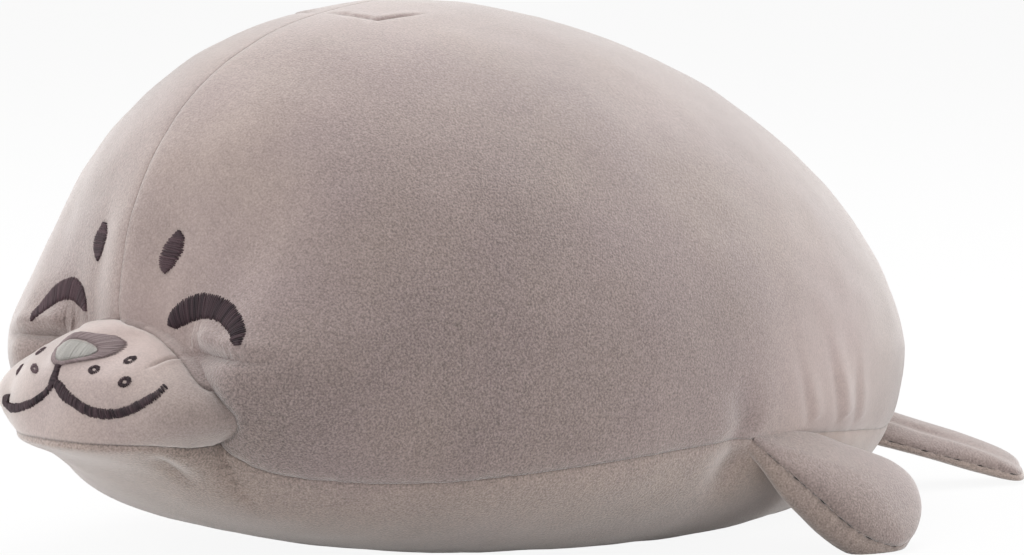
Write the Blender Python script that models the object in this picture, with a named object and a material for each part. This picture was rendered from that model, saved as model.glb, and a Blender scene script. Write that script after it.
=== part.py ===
"""Plush seal, lying on its belly: sewn fabric panels, flippers and embroidered face around a filling.

Metres, +Z up.  The nose points along -Y, the seal's left side is +X, and the origin is the middle
of the flat patch of belly that it lies on.
"""
import math

import bmesh
import bpy
from mathutils import Matrix, Vector
from mathutils.bvhtree import BVHTree

# Body, without the muzzle
BODY_LENGTH = 0.390
BODY_WIDTH = 0.279
BACK_HEIGHT = 0.144          # from the girth line up to the crown
BELLY_DEPTH = 0.074          # from the girth line down, before the floor flattens it
GIRTH_HEIGHT = 0.067         # girth line above the floor
CROWN_LEAN = 0.024           # the crown sits this much nearer the nose than the girth does
REST_BLEND = 0.006           # height over which the belly rounds up from its flat patch
BACK_SQUARENESS = 1.88       # superellipse powers of the sections above and below the girth
BELLY_SQUARENESS = 2.54
SIDE_ROUNDING = 0.90         # how bluntly each profile closes at the nose and the tail
BACK_ROUNDING = 0.88
BELLY_ROUNDING = 0.65
SIDE_TAPER = 0.097           # how much narrower each profile is at the tail than at the nose
BACK_TAPER = 0.15
BELLY_TAPER = -0.128

# The panels' columns fan out from the muzzle seam over this share of the body's length
SETTLING = 0.16

# How the rows are spread: this share of them evenly from the muzzle seam to the tail, the rest
# closer together at both ends, and the muzzle's own rows drawn towards its middle by a power
EVEN_ROWS = 0.25
MUZZLE_ROW_POWER = 1.8

# Side seams, as an angle below the girth line
SEAM_ANGLE_MIDDLE = 0.188
SEAM_ANGLE_ENDS = 0.648

# Full cheeks, standing forward of the body's own end on both sides of the muzzle
CHEEK_FULLNESS = 0.014
CHEEK_HEIGHT = 0.080
CHEEK_RISE = 0.050
CHEEK_DROP = 0.045
CHEEK_INNER = 0.036          # across from the middle, where the cheek starts and is full
CHEEK_FULL = 0.074
CHEEK_FADE = 0.090
CHEEK_OUTER = 0.127

# Muzzle and chin
MUZZLE_HALF_WIDTH = 0.0505
MUZZLE_CORNER_HEIGHT = 0.0545  # where the muzzle's seam meets the side seams
MUZZLE_SEAM_ARCH = 0.002     # how much the seam under the muzzle rises towards its middle
MUZZLE_RISE = 0.044          # from the corners to the top of the muzzle
MUZZLE_DEPTH = 0.037
MUZZLE_SIDE_FULLNESS = 2.6   # superellipse powers of its rounding, sideways and upwards
MUZZLE_TOP_FULLNESS = 2.2
MUZZLE_CENTRE_RISE = 0.016
CHIN_DROP = 0.031            # from the corners down to where the chin ends
CHIN_LIP = 0.013             # and to where the chin has lost half of its depth
CHIN_CURL = 2.2

# Cloth, thread and the clearances between separate pieces
FABRIC = 0.0018
FLIPPER_FABRIC = 0.0015
THREAD_HEIGHT = 0.0009
SEAM_GAP = 0.00035
FIT_GAP = 0.00035
THREAD_GAP = 0.00045         # under the embroidery, which bridges the small bends of the cloth

# Mesh counts
OUTWARD_BLENDS = 3           # times that the cloth's thickness direction is averaged with its neighbours'
SIDE_COLUMNS = 12
BELLY_HALF_COLUMNS = 7
MUZZLE_ROWS = 6
BODY_ROWS = 24
FLIPPER_COLUMNS = 16
FLIPPER_ROWS = 9
EYE_STEPS = 18
MOUTH_STEPS = 24
NOSE_STEPS = 10

# Front flippers
FRONT_ROOT_INSET = 0.0025    # inwards from the body's side
FRONT_ROOT = (BODY_WIDTH/2 - FRONT_ROOT_INSET, 0.003, 0.047)  # where its edge leaves the side seam
FRONT_SWEEP = (-0.12, 0.99, 0.0)       # along the body
FRONT_FALL = (0.58, 0.0, -0.81)        # outwards and down
FRONT_CENTRE = (0.037, 0.0230)         # middle of the paddle, along those two directions
FRONT_TURN = 0.42
FRONT_LENGTH = 0.086
FRONT_WIDTH = 0.060
FRONT_THICKNESS = 0.018

# Both pairs of flippers are puffed leaves with these rounding powers, end to end and through
LEAF_ROUNDING = 0.8
LEAF_BLUNTNESS = 0.85

# Hind flippers, rooted this far inside the body's rear end and reaching this far behind it
HIND_ROOT_INSET = 0.037
HIND_REACH = 0.052
HIND_ROOT = (0.024, BODY_LENGTH/2 - HIND_ROOT_INSET, 0.034)
HIND_TIP = (0.072, BODY_LENGTH/2 + HIND_REACH, 0.0085)
HIND_WIDTH = 0.042
HIND_THICKNESS = 0.022
HIND_ROLL = 0.35

# Embroidery, in the front view: across from the middle and up from the floor
EYE_INNER = (0.0245, 0.0980)
EYE_TOP = (0.0395, 0.1068)
EYE_OUTER = (0.0605, 0.0945)
EYE_STITCH = 0.0090
EYE_SWELL = 0.55             # share of its width that the line gains towards its middle
BROW_CENTRE = (0.0210, 0.1250)
BROW_LENGTH = 0.0150
BROW_WIDTH = 0.0068
BROW_TILT = 0.25
NOSE_TOP = 0.0935
NOSE_BOTTOM = 0.0830
NOSE_HALF_WIDTH = 0.0280
NOSE_NARROWING = 0.32        # share of its half width that the nose loses towards its bottom
NOSE_STITCH = 0.0020
PHILTRUM_BOTTOM = 0.0765
PHILTRUM_STITCH = 0.0029
MOUTH_LOW = (0.0220, 0.0660)
MOUTH_CORNER = (0.0395, 0.0762)
MOUTH_STITCH = 0.0036
MOUTH_SWELL = 0.3
WHISKER_DOTS = ((0.0154, 0.0830), (0.0257, 0.0863), (0.0280, 0.0790))
WHISKER_DOT_LENGTH = 0.0046
WHISKER_DOT_WIDTH = 0.0032
WHISKER_DOT_TILT = 0.9

PLUSH_COLOUR = (0.43, 0.37, 0.35)
BELLY_COLOUR = (0.47, 0.42, 0.39)
DARK_THREAD = (0.040, 0.022, 0.035)
GREY_THREAD = (0.20, 0.17, 0.17)
NOSE_THREAD = (0.56, 0.57, 0.54)
FILLING_COLOUR = (0.85, 0.85, 0.83)

COLUMNS = 2*(SIDE_COLUMNS + BELLY_HALF_COLUMNS)
ROWS = MUZZLE_ROWS + BODY_ROWS
MIDDLE_X = 0.0


def clear_scene():
    """Remove every object that the file starts with."""
    for thing in list(bpy.data.objects):
        bpy.data.objects.remove(thing, do_unlink=True)


def smooth_step(low, high, value):
    """Rise smoothly from 0 at low to 1 at high."""
    share = min(max((value - low)/(high - low), 0.0), 1.0)
    return share*share*(3.0 - 2.0*share)


def signed_power(value, power):
    """Raise the size of a number to a power and keep its sign."""
    return math.copysign(abs(value)**power, value)


def rest_on_floor(height):
    """Flatten what would lie below the floor, with a short rounded blend above it."""
    if height < -REST_BLEND:
        return 0.0
    if height > REST_BLEND:
        return height
    return (height + REST_BLEND)**2/(4.0*REST_BLEND)


def section(along):
    """Give the half width, height above and depth below the girth at an angle from nose to tail."""
    reach = max(math.sin(along), 0.0)
    station = -math.cos(along)
    half_width = BODY_WIDTH/2*reach**SIDE_ROUNDING*(1.0 - SIDE_TAPER*station)
    above = BACK_HEIGHT*reach**BACK_ROUNDING*(1.0 - BACK_TAPER*station)
    below = BELLY_DEPTH*reach**BELLY_ROUNDING*(1.0 - BELLY_TAPER*station)
    return half_width, above, below


def muzzle_lift(x, z):
    """Give how far the muzzle and the chin stand forward of the face."""
    across = x/MUZZLE_HALF_WIDTH
    rise = max(z - MUZZLE_CORNER_HEIGHT, 0.0)/MUZZLE_RISE
    drop = max(MUZZLE_CORNER_HEIGHT - z, 0.0)
    spread = math.hypot(across, rise)
    if spread >= 1.0 or drop >= CHIN_DROP:
        return 0.0
    sideways = (across/spread)**2 if spread > 0.0 else 0.0
    power = MUZZLE_TOP_FULLNESS + (MUZZLE_SIDE_FULLNESS - MUZZLE_TOP_FULLNESS)*sideways
    dome = (1.0 - spread**power)**(1.0/power)
    chin = (1.0 - (drop/CHIN_DROP)**3)/(1.0 + (drop/CHIN_LIP)**CHIN_CURL)
    return MUZZLE_DEPTH*dome*chin


def cheek_lift(x, z):
    """Give how far a full cheek stands forward of the body's end."""
    across = abs(x)
    rise = CHEEK_RISE if z > CHEEK_HEIGHT else CHEEK_DROP
    level = min(abs(z - CHEEK_HEIGHT)/rise, 1.0)
    share = smooth_step(CHEEK_INNER, CHEEK_FULL, across)
    share *= 1.0 - smooth_step(CHEEK_FADE, CHEEK_OUTER, across)
    return CHEEK_FULLNESS*share*math.cos(level*math.pi/2)**2


def skin_point(along, around):
    """Place a point of the outer skin.

    along runs from 0 at the nose to pi at the tail, around from 0 at the left side to pi/2 at the
    crown and -pi/2 at the belly.
    """
    half_width, above, below = section(along)
    rising = math.sin(around) >= 0.0
    power = 2.0/(BACK_SQUARENESS if rising else BELLY_SQUARENESS)
    across = signed_power(math.cos(around), power)
    up = signed_power(math.sin(around), power)
    x = half_width*across
    z = rest_on_floor(GIRTH_HEIGHT + (above if rising else below)*up)
    y = -BODY_LENGTH/2*math.cos(along) - CROWN_LEAN*math.sin(along)*max(up, 0.0)
    front = smooth_step(-0.05, 0.35, math.cos(along))
    y -= front*(cheek_lift(x, z) + muzzle_lift(x, z))
    return Vector((x, y, z))


def angles_at(x, z):
    """Find the two skin angles of the point of the front that shows at x, z from ahead."""
    rising = z >= GIRTH_HEIGHT
    power = BACK_SQUARENESS if rising else BELLY_SQUARENESS
    low, high = 1e-5, math.pi/2
    for _ in range(40):
        along = (low + high)/2
        half_width, above, below = section(along)
        height = above if rising else below
        across, up = x/half_width, (z - GIRTH_HEIGHT)/height
        if abs(across)**power + abs(up)**power > 1.0:
            low = along
        else:
            high = along
    around = math.atan2(signed_power(up, power/2), signed_power(across, power/2))
    return along, around


def seam_angle(along):
    """Give the side seam's angle below the girth line."""
    return SEAM_ANGLE_MIDDLE + (SEAM_ANGLE_ENDS - SEAM_ANGLE_MIDDLE)*math.cos(along)**2


def muzzle_edge(column):
    """Give x, z of the muzzle's seam at a column, from the top middle round to the lower middle."""
    if column <= SIDE_COLUMNS:
        turn = math.pi/2*(1.0 - column/SIDE_COLUMNS)
        return (MUZZLE_HALF_WIDTH*math.cos(turn),
                MUZZLE_CORNER_HEIGHT + MUZZLE_RISE*math.sin(turn))
    share = (column - SIDE_COLUMNS)/BELLY_HALF_COLUMNS
    arch = MUZZLE_SEAM_ARCH*(1.0 - (1.0 - share)**2)
    return MUZZLE_HALF_WIDTH*(1.0 - share), MUZZLE_CORNER_HEIGHT + arch


def body_angle(column, along):
    """Give the angle around the body of a column, even between the seams on its two sides."""
    seam = -seam_angle(along)
    if column <= SIDE_COLUMNS:
        return math.pi/2 + (seam - math.pi/2)*column/SIDE_COLUMNS
    share = (column - SIDE_COLUMNS)/BELLY_HALF_COLUMNS
    return seam + (-math.pi/2 - seam)*share


def grid_point(row, column):
    """Place the skin's grid: the rows run from the muzzle's middle over its seam to the tail."""
    side = 1.0
    if column > COLUMNS//2:
        column = COLUMNS - column
        side = -1.0
    edge_x, edge_z = muzzle_edge(column)
    if row <= MUZZLE_ROWS:
        share = math.sin(row/MUZZLE_ROWS*math.pi/2)**MUZZLE_ROW_POWER
        middle_z = MUZZLE_CORNER_HEIGHT + MUZZLE_CENTRE_RISE
        along, around = angles_at(edge_x*share, middle_z + (edge_z - middle_z)*share)
    else:
        edge_along, edge_around = angles_at(edge_x, edge_z)
        step = (row - MUZZLE_ROWS)/BODY_ROWS
        share = (1.0 - EVEN_ROWS)*(1.0 - math.cos(step*math.pi))/2 + EVEN_ROWS*step
        along = edge_along + (math.pi - edge_along)*share
        settled = math.sin(min(step/SETTLING, 1.0)*math.pi/2)
        around = edge_around + (body_angle(column, along) - edge_around)*settled
    place = skin_point(along, around)
    if column in (0, COLUMNS//2):
        place.x = MIDDLE_X
    return Vector((side*place.x, place.y, place.z))


def sphere_grid(columns, rows):
    """Make a sphere and give each vertex its row and column."""
    mesh = bmesh.new()
    bmesh.ops.create_uvsphere(mesh, u_segments=columns, v_segments=rows, radius=1.0)
    places = []
    rim = next(vertex for vertex in mesh.verts if abs(vertex.co.z) < 0.99)
    start = math.atan2(rim.co.y, rim.co.x)
    for vertex in mesh.verts:
        row = round(math.acos(max(-1.0, min(1.0, vertex.co.z)))/math.pi*rows)
        turn = math.atan2(vertex.co.y, vertex.co.x) - start
        places.append((vertex, row, round(turn/(2*math.pi)*columns) % columns))
    return mesh, places


def tag_panels(mesh, places, columns, panel_of):
    """Write each face's panel number, from its lowest row and its first column."""
    layer = mesh.faces.layers.int.new("panel")
    index = {vertex: (row, column) for vertex, row, column in places}
    last = max(row for _, row, _ in places)
    for face in mesh.faces:
        cells = [index[vertex] for vertex in face.verts]
        rim = sorted({column for row, column in cells if 0 < row < last})
        first = rim[0] if rim[-1] - rim[0] == 1 else columns - 1
        face[layer] = panel_of(min(row for row, _ in cells), first)


def finish_skin(mesh):
    """Split the cells into triangles, facing out, and keep each vertex's outward direction."""
    bmesh.ops.triangulate(mesh, faces=mesh.faces[:])
    if mesh.calc_volume(signed=True) < 0.0:
        bmesh.ops.reverse_faces(mesh, faces=mesh.faces[:])
    mesh.normal_update()
    outward = mesh.verts.layers.float_vector.new("outward")
    for vertex in mesh.verts:
        vertex[outward] = vertex.normal
    for _ in range(OUTWARD_BLENDS):
        blends = []
        for vertex in mesh.verts:
            around = [Vector(edge.other_vert(vertex)[outward]) for edge in vertex.link_edges]
            blends.append((Vector(vertex[outward]) + sum(around, Vector())/len(around)).normalized())
        for vertex, blend in zip(mesh.verts, blends):
            vertex[outward] = blend


MUZZLE, LEFT, RIGHT, BELLY = range(4)


def body_panel(row, column):
    """Say which cloth panel a cell of the body's skin belongs to."""
    if row < MUZZLE_ROWS:
        return MUZZLE
    if column < SIDE_COLUMNS:
        return LEFT
    if column >= COLUMNS - SIDE_COLUMNS:
        return RIGHT
    return BELLY


def body_skin():
    """Make the whole outer skin of the body as one closed surface."""
    mesh, places = sphere_grid(COLUMNS, ROWS)
    tag_panels(mesh, places, COLUMNS, body_panel)
    for vertex, row, column in places:
        vertex.co = grid_point(row, column)
    finish_skin(mesh)
    return mesh


def moved_skin(skin, distance):
    """Copy a closed skin and move it in or out by a distance."""
    mesh = skin.copy()
    outward = mesh.verts.layers.float_vector["outward"]
    for vertex in mesh.verts:
        vertex.co += Vector(vertex[outward])*distance
    return mesh


def pull_in_edges(mesh, distance):
    """Trim a panel's open edges by a distance, so that it clears the panel next to it."""
    moves = {}
    for vertex in mesh.verts:
        rims = [edge for edge in vertex.link_edges if edge.is_boundary]
        if not rims:
            continue
        inwards = []
        for edge in rims:
            face = edge.link_faces[0]
            run = (edge.verts[1].co - edge.verts[0].co).normalized()
            inward = face.normal.cross(run)
            middle = (edge.verts[0].co + edge.verts[1].co)/2
            if inward.dot(face.calc_center_median() - middle) < 0.0:
                inward = -inward
            inwards.append(inward)
        total = inwards[0] + inwards[-1]
        moves[vertex] = total*distance/max(1.0 + inwards[0].dot(inwards[-1]), 0.3)
    for vertex, move in moves.items():
        vertex.co += move


def panel_shell(skin, panel, thickness):
    """Cut one panel out of a skin and give it the cloth's thickness, inwards."""
    mesh = skin.copy()
    layer = mesh.faces.layers.int["panel"]
    others = [face for face in mesh.faces if face[layer] != panel]
    bmesh.ops.delete(mesh, geom=others, context="FACES")
    mesh.normal_update()
    pull_in_edges(mesh, SEAM_GAP/2)
    outward = mesh.verts.layers.float_vector["outward"]
    grown = bmesh.ops.extrude_face_region(mesh, geom=mesh.faces[:], use_keep_orig=True)
    for vertex in grown["geom"]:
        if isinstance(vertex, bmesh.types.BMVert):
            vertex.co -= Vector(vertex[outward])*thickness
    bmesh.ops.recalc_face_normals(mesh, faces=mesh.faces[:])
    return mesh


def add_object(name, mesh, colour, roughness):
    """Make a named object with its own material from a bmesh."""
    data = bpy.data.meshes.new(name)
    mesh.to_mesh(data)
    mesh.free()
    data.shade_smooth()
    thing = bpy.data.objects.new(name, data)
    bpy.context.scene.collection.objects.link(thing)
    material = bpy.data.materials.new(name)
    material.use_nodes = True
    shader = material.node_tree.nodes["Principled BSDF"]
    shader.inputs["Base Color"].default_value = (*colour, 1.0)
    shader.inputs["Roughness"].default_value = roughness
    shader.inputs["Metallic"].default_value = 0.0
    data.materials.append(material)
    return thing


def add_body(skin):
    """Add the filling and the four cloth panels sewn round it."""
    filling = moved_skin(skin, -(FABRIC + FIT_GAP))
    add_object("body_filling", filling, FILLING_COLOUR, 0.9)
    panels = (("muzzle_panel", MUZZLE, BELLY_COLOUR),
              ("left_side_panel", LEFT, PLUSH_COLOUR),
              ("right_side_panel", RIGHT, PLUSH_COLOUR),
              ("belly_panel", BELLY, BELLY_COLOUR))
    for name, number, colour in panels:
        add_object(name, panel_shell(skin, number, FABRIC), colour, 0.85)


def add_body_clearance(skin):
    """Add the hidden cutter that trims each flipper's root to lie against the body."""
    cutter = add_object("body_clearance", moved_skin(skin, FIT_GAP), PLUSH_COLOUR, 0.9)
    cutter.hide_render = True
    cutter.display_type = "WIRE"
    return cutter


UPPER, UNDER = range(2)


def flipper_panel(_row, column):
    """Say which of a flipper's two cloth pieces a cell belongs to."""
    return UPPER if column < FLIPPER_COLUMNS//2 else UNDER


def flipper_skin(length, width, thickness, place):
    """Make a puffed leaf, with its seam round the edge, and set it in place.

    The leaf's length runs along the placement's X, its width along Y, and its upper side is +Z.
    """
    mesh, places = sphere_grid(FLIPPER_COLUMNS, FLIPPER_ROWS)
    tag_panels(mesh, places, FLIPPER_COLUMNS, flipper_panel)
    for vertex, row, column in places:
        station = row/FLIPPER_ROWS*math.pi
        turn = column/FLIPPER_COLUMNS*2*math.pi
        reach = math.sin(station)**LEAF_ROUNDING
        vertex.co = place @ Vector((-length/2*math.cos(station),
                                    width/2*reach*math.cos(turn),
                                    thickness/2*reach*signed_power(math.sin(turn), LEAF_BLUNTNESS)))
    finish_skin(mesh)
    return mesh


def add_flipper(name, skin, cutter):
    """Add one flipper: its filling and two cloth pieces, trimmed where they meet the body."""
    pieces = (("filling", moved_skin(skin, -(FLIPPER_FABRIC + FIT_GAP)), FILLING_COLOUR),
              ("upper", panel_shell(skin, UPPER, FLIPPER_FABRIC), PLUSH_COLOUR),
              ("under", panel_shell(skin, UNDER, FLIPPER_FABRIC), BELLY_COLOUR))
    for part, mesh, colour in pieces:
        thing = add_object(name + "_" + part, mesh, colour, 0.85)
        trim = thing.modifiers.new("trim to body", "BOOLEAN")
        trim.operation = "DIFFERENCE"
        trim.solver = "EXACT"
        trim.object = cutter
    skin.free()


def frame_of(origin, forward, upward):
    """Make a placement whose X runs forward and whose Z is as near upward as it can be."""
    forward = forward.normalized()
    across = upward.cross(forward).normalized()
    upright = forward.cross(across)
    return Matrix.Translation(origin) @ Matrix((forward, across, upright)).transposed().to_4x4()


def front_flipper_place():
    """Place the left front flipper: it leaves the side seam and slants down to the floor."""
    sweep = Vector(FRONT_SWEEP).normalized()
    fall = Vector(FRONT_FALL).normalized()
    centre = Vector(FRONT_ROOT) + sweep*FRONT_CENTRE[0] + fall*FRONT_CENTRE[1]
    forward = sweep*math.cos(FRONT_TURN) + fall*math.sin(FRONT_TURN)
    return frame_of(centre, forward, fall.cross(sweep))


def hind_flipper_place():
    """Place the left hind flipper: it leaves the tail and slants back to the floor."""
    root, tip = Vector(HIND_ROOT), Vector(HIND_TIP)
    tilted = Vector((math.sin(HIND_ROLL), 0.0, math.cos(HIND_ROLL)))
    return frame_of((root + tip)/2, tip - root, tilted)


def add_flippers(cutter):
    """Add the four flippers, the right ones as mirror images of the left ones."""
    hind_length = (Vector(HIND_TIP) - Vector(HIND_ROOT)).length
    shapes = (("front_flipper", FRONT_LENGTH, FRONT_WIDTH, FRONT_THICKNESS, front_flipper_place()),
              ("hind_flipper", hind_length, HIND_WIDTH, HIND_THICKNESS, hind_flipper_place()))
    for name, length, width, thickness, place in shapes:
        for side, sign in (("left", 1.0), ("right", -1.0)):
            mirror = Matrix.Scale(sign, 4, (1.0, 0.0, 0.0)) if sign < 0 else Matrix.Identity(4)
            skin = flipper_skin(length, width, thickness, mirror @ place)
            add_flipper(side + "_" + name, skin, cutter)


def on_skin(face, x, z, height):
    """Drop a point of the front view onto the skin, a height above it."""
    place, normal, _, _ = face.ray_cast(Vector((x, -1.0, z)), Vector((0.0, 1.0, 0.0)))
    if normal.y > 0.0:
        normal = -normal
    return place + normal*height


def stitched(face, rows, closed):
    """Raise a strip of embroidery from rows of front-view points; closed joins its two ends."""
    mesh = bmesh.new()
    lines = [[mesh.verts.new(on_skin(face, x, z, THREAD_GAP)) for x, z in row] for row in rows]
    pairs = list(zip(lines, lines[1:]))
    if closed:
        pairs.append((lines[-1], lines[0]))
    for line, following in pairs:
        for start, end, far_end, far_start in zip(line, line[1:], following[1:], following):
            mesh.faces.new((start, end, far_end, far_start))
    low = mesh.faces[:]
    grown = bmesh.ops.extrude_face_region(mesh, geom=low, use_keep_orig=True)
    for vertex in grown["geom"]:
        if isinstance(vertex, bmesh.types.BMVert):
            _, normal, _, _ = face.find_nearest(vertex.co)
            vertex.co += normal*math.copysign(THREAD_HEIGHT, -normal.y)
    bmesh.ops.recalc_face_normals(mesh, faces=mesh.faces[:])
    return mesh


def bow(start, middle, end, share):
    """Give a point of the smooth curve through three points, halfway at the middle one."""
    lead = (1.0 - share)*(1.0 - 2.0*share)
    crest = 4.0*share*(1.0 - share)
    tail = share*(2.0*share - 1.0)
    return tuple(lead*a + crest*b + tail*c for a, b, c in zip(start, middle, end))


def bow_rows(points, width, steps, swell, across=3):
    """Give rows of points across a bowed stitch line whose width swells in its middle."""
    rows = []
    for step in range(steps + 1):
        share = step/steps
        here = Vector(bow(*points, share))
        ahead = Vector(bow(*points, share + 0.01)) - Vector(bow(*points, share - 0.01))
        side = Vector((-ahead.y, ahead.x)).normalized()
        half = width/2*(1.0 - swell + swell*math.sin(share*math.pi)**0.7)
        rows.append([tuple(here + side*half*(2.0*k/(across - 1) - 1.0)) for k in range(across)])
    return rows


def oval_rows(centre, length, width, tilt, steps=6):
    """Give rows of points over a small tilted oval with blunt ends."""
    run = Vector((math.sin(tilt), math.cos(tilt)))
    side = Vector((run.y, -run.x))
    rows = []
    for step in range(steps + 1):
        level = 2.0*step/steps - 1.0
        half = width/2*math.sqrt(1.0 - (0.94*level)**2)
        here = Vector(centre) + run*length/2*level
        rows.append([tuple(here + side*half*k) for k in (-1.0, 0.0, 1.0)])
    return rows


def nose_outline(turn, shrink):
    """Give a point of the nose: an upside-down rounded triangle, shrunk towards its middle."""
    middle = (NOSE_TOP + NOSE_BOTTOM)/2
    rise = (NOSE_TOP - NOSE_BOTTOM)/2
    height = math.sin(turn)
    narrowing = 1.0 - NOSE_NARROWING*(1.0 - height)
    return ((NOSE_HALF_WIDTH - shrink)*math.cos(turn)*narrowing,
            middle + (rise - shrink)*height)


def add_nose(face):
    """Add the nose's filled middle and the stitched line round it."""
    count = 3*NOSE_STEPS
    turns = [2*math.pi*step/count for step in range(count)]
    ring = [[nose_outline(turn, shrink) for shrink in (0.0, NOSE_STITCH)] for turn in turns]
    add_object("nose_outline_stitch", stitched(face, ring, True), GREY_THREAD, 0.6)
    inner = NOSE_STITCH + FIT_GAP
    rows = []
    for step in range(1, NOSE_STEPS):
        x, z = nose_outline(math.pi/2 - math.pi*step/NOSE_STEPS, inner)
        rows.append([(x*(2.0*k/NOSE_STEPS - 1.0), z) for k in range(NOSE_STEPS + 1)])
    add_object("nose_fill_stitch", stitched(face, rows, False), NOSE_THREAD, 0.6)


def mirrored(rows):
    """Mirror rows of front-view points to the other side of the face."""
    return [[(-x, z) for x, z in row] for row in rows]


def add_face(skin):
    """Add the embroidery: eyes, brows, nose, mouth and whisker dots."""
    face = BVHTree.FromBMesh(skin)
    philtrum_foot = (MIDDLE_X, PHILTRUM_BOTTOM)
    mouth_start = (MOUTH_STITCH/2 + FIT_GAP, PHILTRUM_BOTTOM - MOUTH_STITCH)
    lines = {"eye": bow_rows((EYE_INNER, EYE_TOP, EYE_OUTER), EYE_STITCH, EYE_STEPS, EYE_SWELL),
             "brow": oval_rows(BROW_CENTRE, BROW_LENGTH, BROW_WIDTH, BROW_TILT),
             "mouth": bow_rows((mouth_start, MOUTH_LOW, MOUTH_CORNER), MOUTH_STITCH, MOUTH_STEPS,
                               MOUTH_SWELL)}
    for number, spot in enumerate(WHISKER_DOTS, start=1):
        dot = oval_rows(spot, WHISKER_DOT_LENGTH, WHISKER_DOT_WIDTH, WHISKER_DOT_TILT, steps=4)
        lines["whisker_dot_%d" % number] = dot
    for name, rows in lines.items():
        add_object("left_%s_stitch" % name, stitched(face, rows, False), DARK_THREAD, 0.6)
        add_object("right_%s_stitch" % name, stitched(face, mirrored(rows), False),
                   DARK_THREAD, 0.6)
    add_nose(face)
    half = PHILTRUM_STITCH/2
    top = NOSE_BOTTOM - FIT_GAP
    levels = (top, (top + philtrum_foot[1])/2, philtrum_foot[1])
    rows = [[(x, level) for x in (-half, MIDDLE_X, half)] for level in levels]
    add_object("philtrum_stitch", stitched(face, rows, False), DARK_THREAD, 0.6)


def main():
    """Build the seal."""
    clear_scene()
    skin = body_skin()
    add_body(skin)
    cutter = add_body_clearance(skin)
    add_flippers(cutter)
    add_face(skin)
    skin.free()


main()
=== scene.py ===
"""Looks of a plush seal: sewn velvety panels, flippers, folds, embroidery and a plain studio.

Metres, +Z up.  The nose points along -Y, the seal's left side is +X, and the origin is the middle of
the flat patch of belly that it lies on.
"""
from __future__ import annotations

import logging
import math
import random
from dataclasses import dataclass, field
from enum import Enum
from typing import Callable, Sequence

import bmesh
import bpy
import numpy as np
from mathutils import Matrix, Vector, noise
from mathutils.bvhtree import BVHTree
from mathutils.kdtree import KDTree


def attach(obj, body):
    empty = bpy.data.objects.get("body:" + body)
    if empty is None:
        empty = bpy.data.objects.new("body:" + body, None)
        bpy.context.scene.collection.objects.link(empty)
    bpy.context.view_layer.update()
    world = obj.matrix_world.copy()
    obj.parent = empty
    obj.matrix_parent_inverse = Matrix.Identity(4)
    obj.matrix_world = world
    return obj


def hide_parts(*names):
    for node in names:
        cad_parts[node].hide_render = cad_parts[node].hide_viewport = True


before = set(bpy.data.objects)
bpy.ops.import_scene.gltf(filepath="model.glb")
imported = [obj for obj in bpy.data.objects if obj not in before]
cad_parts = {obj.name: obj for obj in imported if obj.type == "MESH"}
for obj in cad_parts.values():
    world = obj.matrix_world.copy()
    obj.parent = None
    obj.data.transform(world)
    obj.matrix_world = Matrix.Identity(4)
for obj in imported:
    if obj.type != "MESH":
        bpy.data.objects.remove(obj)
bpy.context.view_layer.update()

LOG = logging.getLogger("plush_seal")
Array = np.ndarray
Point = tuple[float, float]
Spot = tuple[float, float, float]
Colour = tuple[float, float, float]


# ---------------------------------------------------------------- small helpers


def ease(low: float, high: float, value: Array) -> Array:
    """Rise smoothly from 0 at low to 1 at high.

    Args:
        low: Where the rise starts.
        high: Where it ends.
        value: The values to judge.

    Returns:
        The share of the rise at each value.
    """
    share = np.clip((value - low)/(high - low), 0.0, 1.0)
    return share*share*(3.0 - 2.0*share)


def signed_power(value: Array, power: Array | float) -> Array:
    """Raise the size of each number to a power and keep its sign."""
    return np.sign(value)*np.abs(value)**power


def smooth_line(points: Sequence[Sequence[float]], count: int, closed: bool = False) -> Array:
    """Run a smooth curve through points and give evenly spaced places along it.

    Args:
        points: The points that the curve passes through, in order.
        count: How many places to give.
        closed: Whether the curve comes back to its first point.

    Returns:
        An array with one place in each row.
    """
    knots = np.array(points, float)
    if closed:
        knots = np.vstack((knots[-1:], knots, knots[:2]))
    else:
        knots = np.vstack((2*knots[:1] - knots[1:2], knots, 2*knots[-1:] - knots[-2:-1]))
    pieces = []
    for k in range(len(knots) - 3):
        a, b, c, d = knots[k:k + 4]
        t = np.linspace(0.0, 1.0, 24, endpoint=False)[:, None]
        pieces.append(0.5*(2*b + (c - a)*t + (2*a - 5*b + 4*c - d)*t**2 + (3*b - a - 3*c + d)*t**3))
    dense = np.vstack(pieces + [knots[-2:-1]])
    run = np.concatenate(([0.0], np.cumsum(np.linalg.norm(np.diff(dense, axis=0), axis=1))))
    wanted = np.linspace(0.0, run[-1], count, endpoint=not closed)
    return np.stack([np.interp(wanted, run, dense[:, k]) for k in range(dense.shape[1])], axis=1)


def coordinates(mesh: bmesh.types.BMesh) -> Array:
    """Give the places of a mesh's vertices as an array."""
    return np.array([vertex.co for vertex in mesh.verts], float).reshape(-1, 3)


def normals_of(mesh: bmesh.types.BMesh) -> Array:
    """Give the normals of a mesh's vertices as an array."""
    mesh.normal_update()
    return np.array([vertex.normal for vertex in mesh.verts], float).reshape(-1, 3)


def move_to(mesh: bmesh.types.BMesh, places: Array) -> None:
    """Move every vertex of a mesh to its row of an array."""
    for vertex, place in zip(mesh.verts, places):
        vertex.co = place


# ---------------------------------------------------------------- finishes


class Pile(Enum):
    """Which way the short pile was last stroked, which turns its tone a little."""

    SMOOTH = 0.0
    BRUSHED = 1.0


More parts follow.
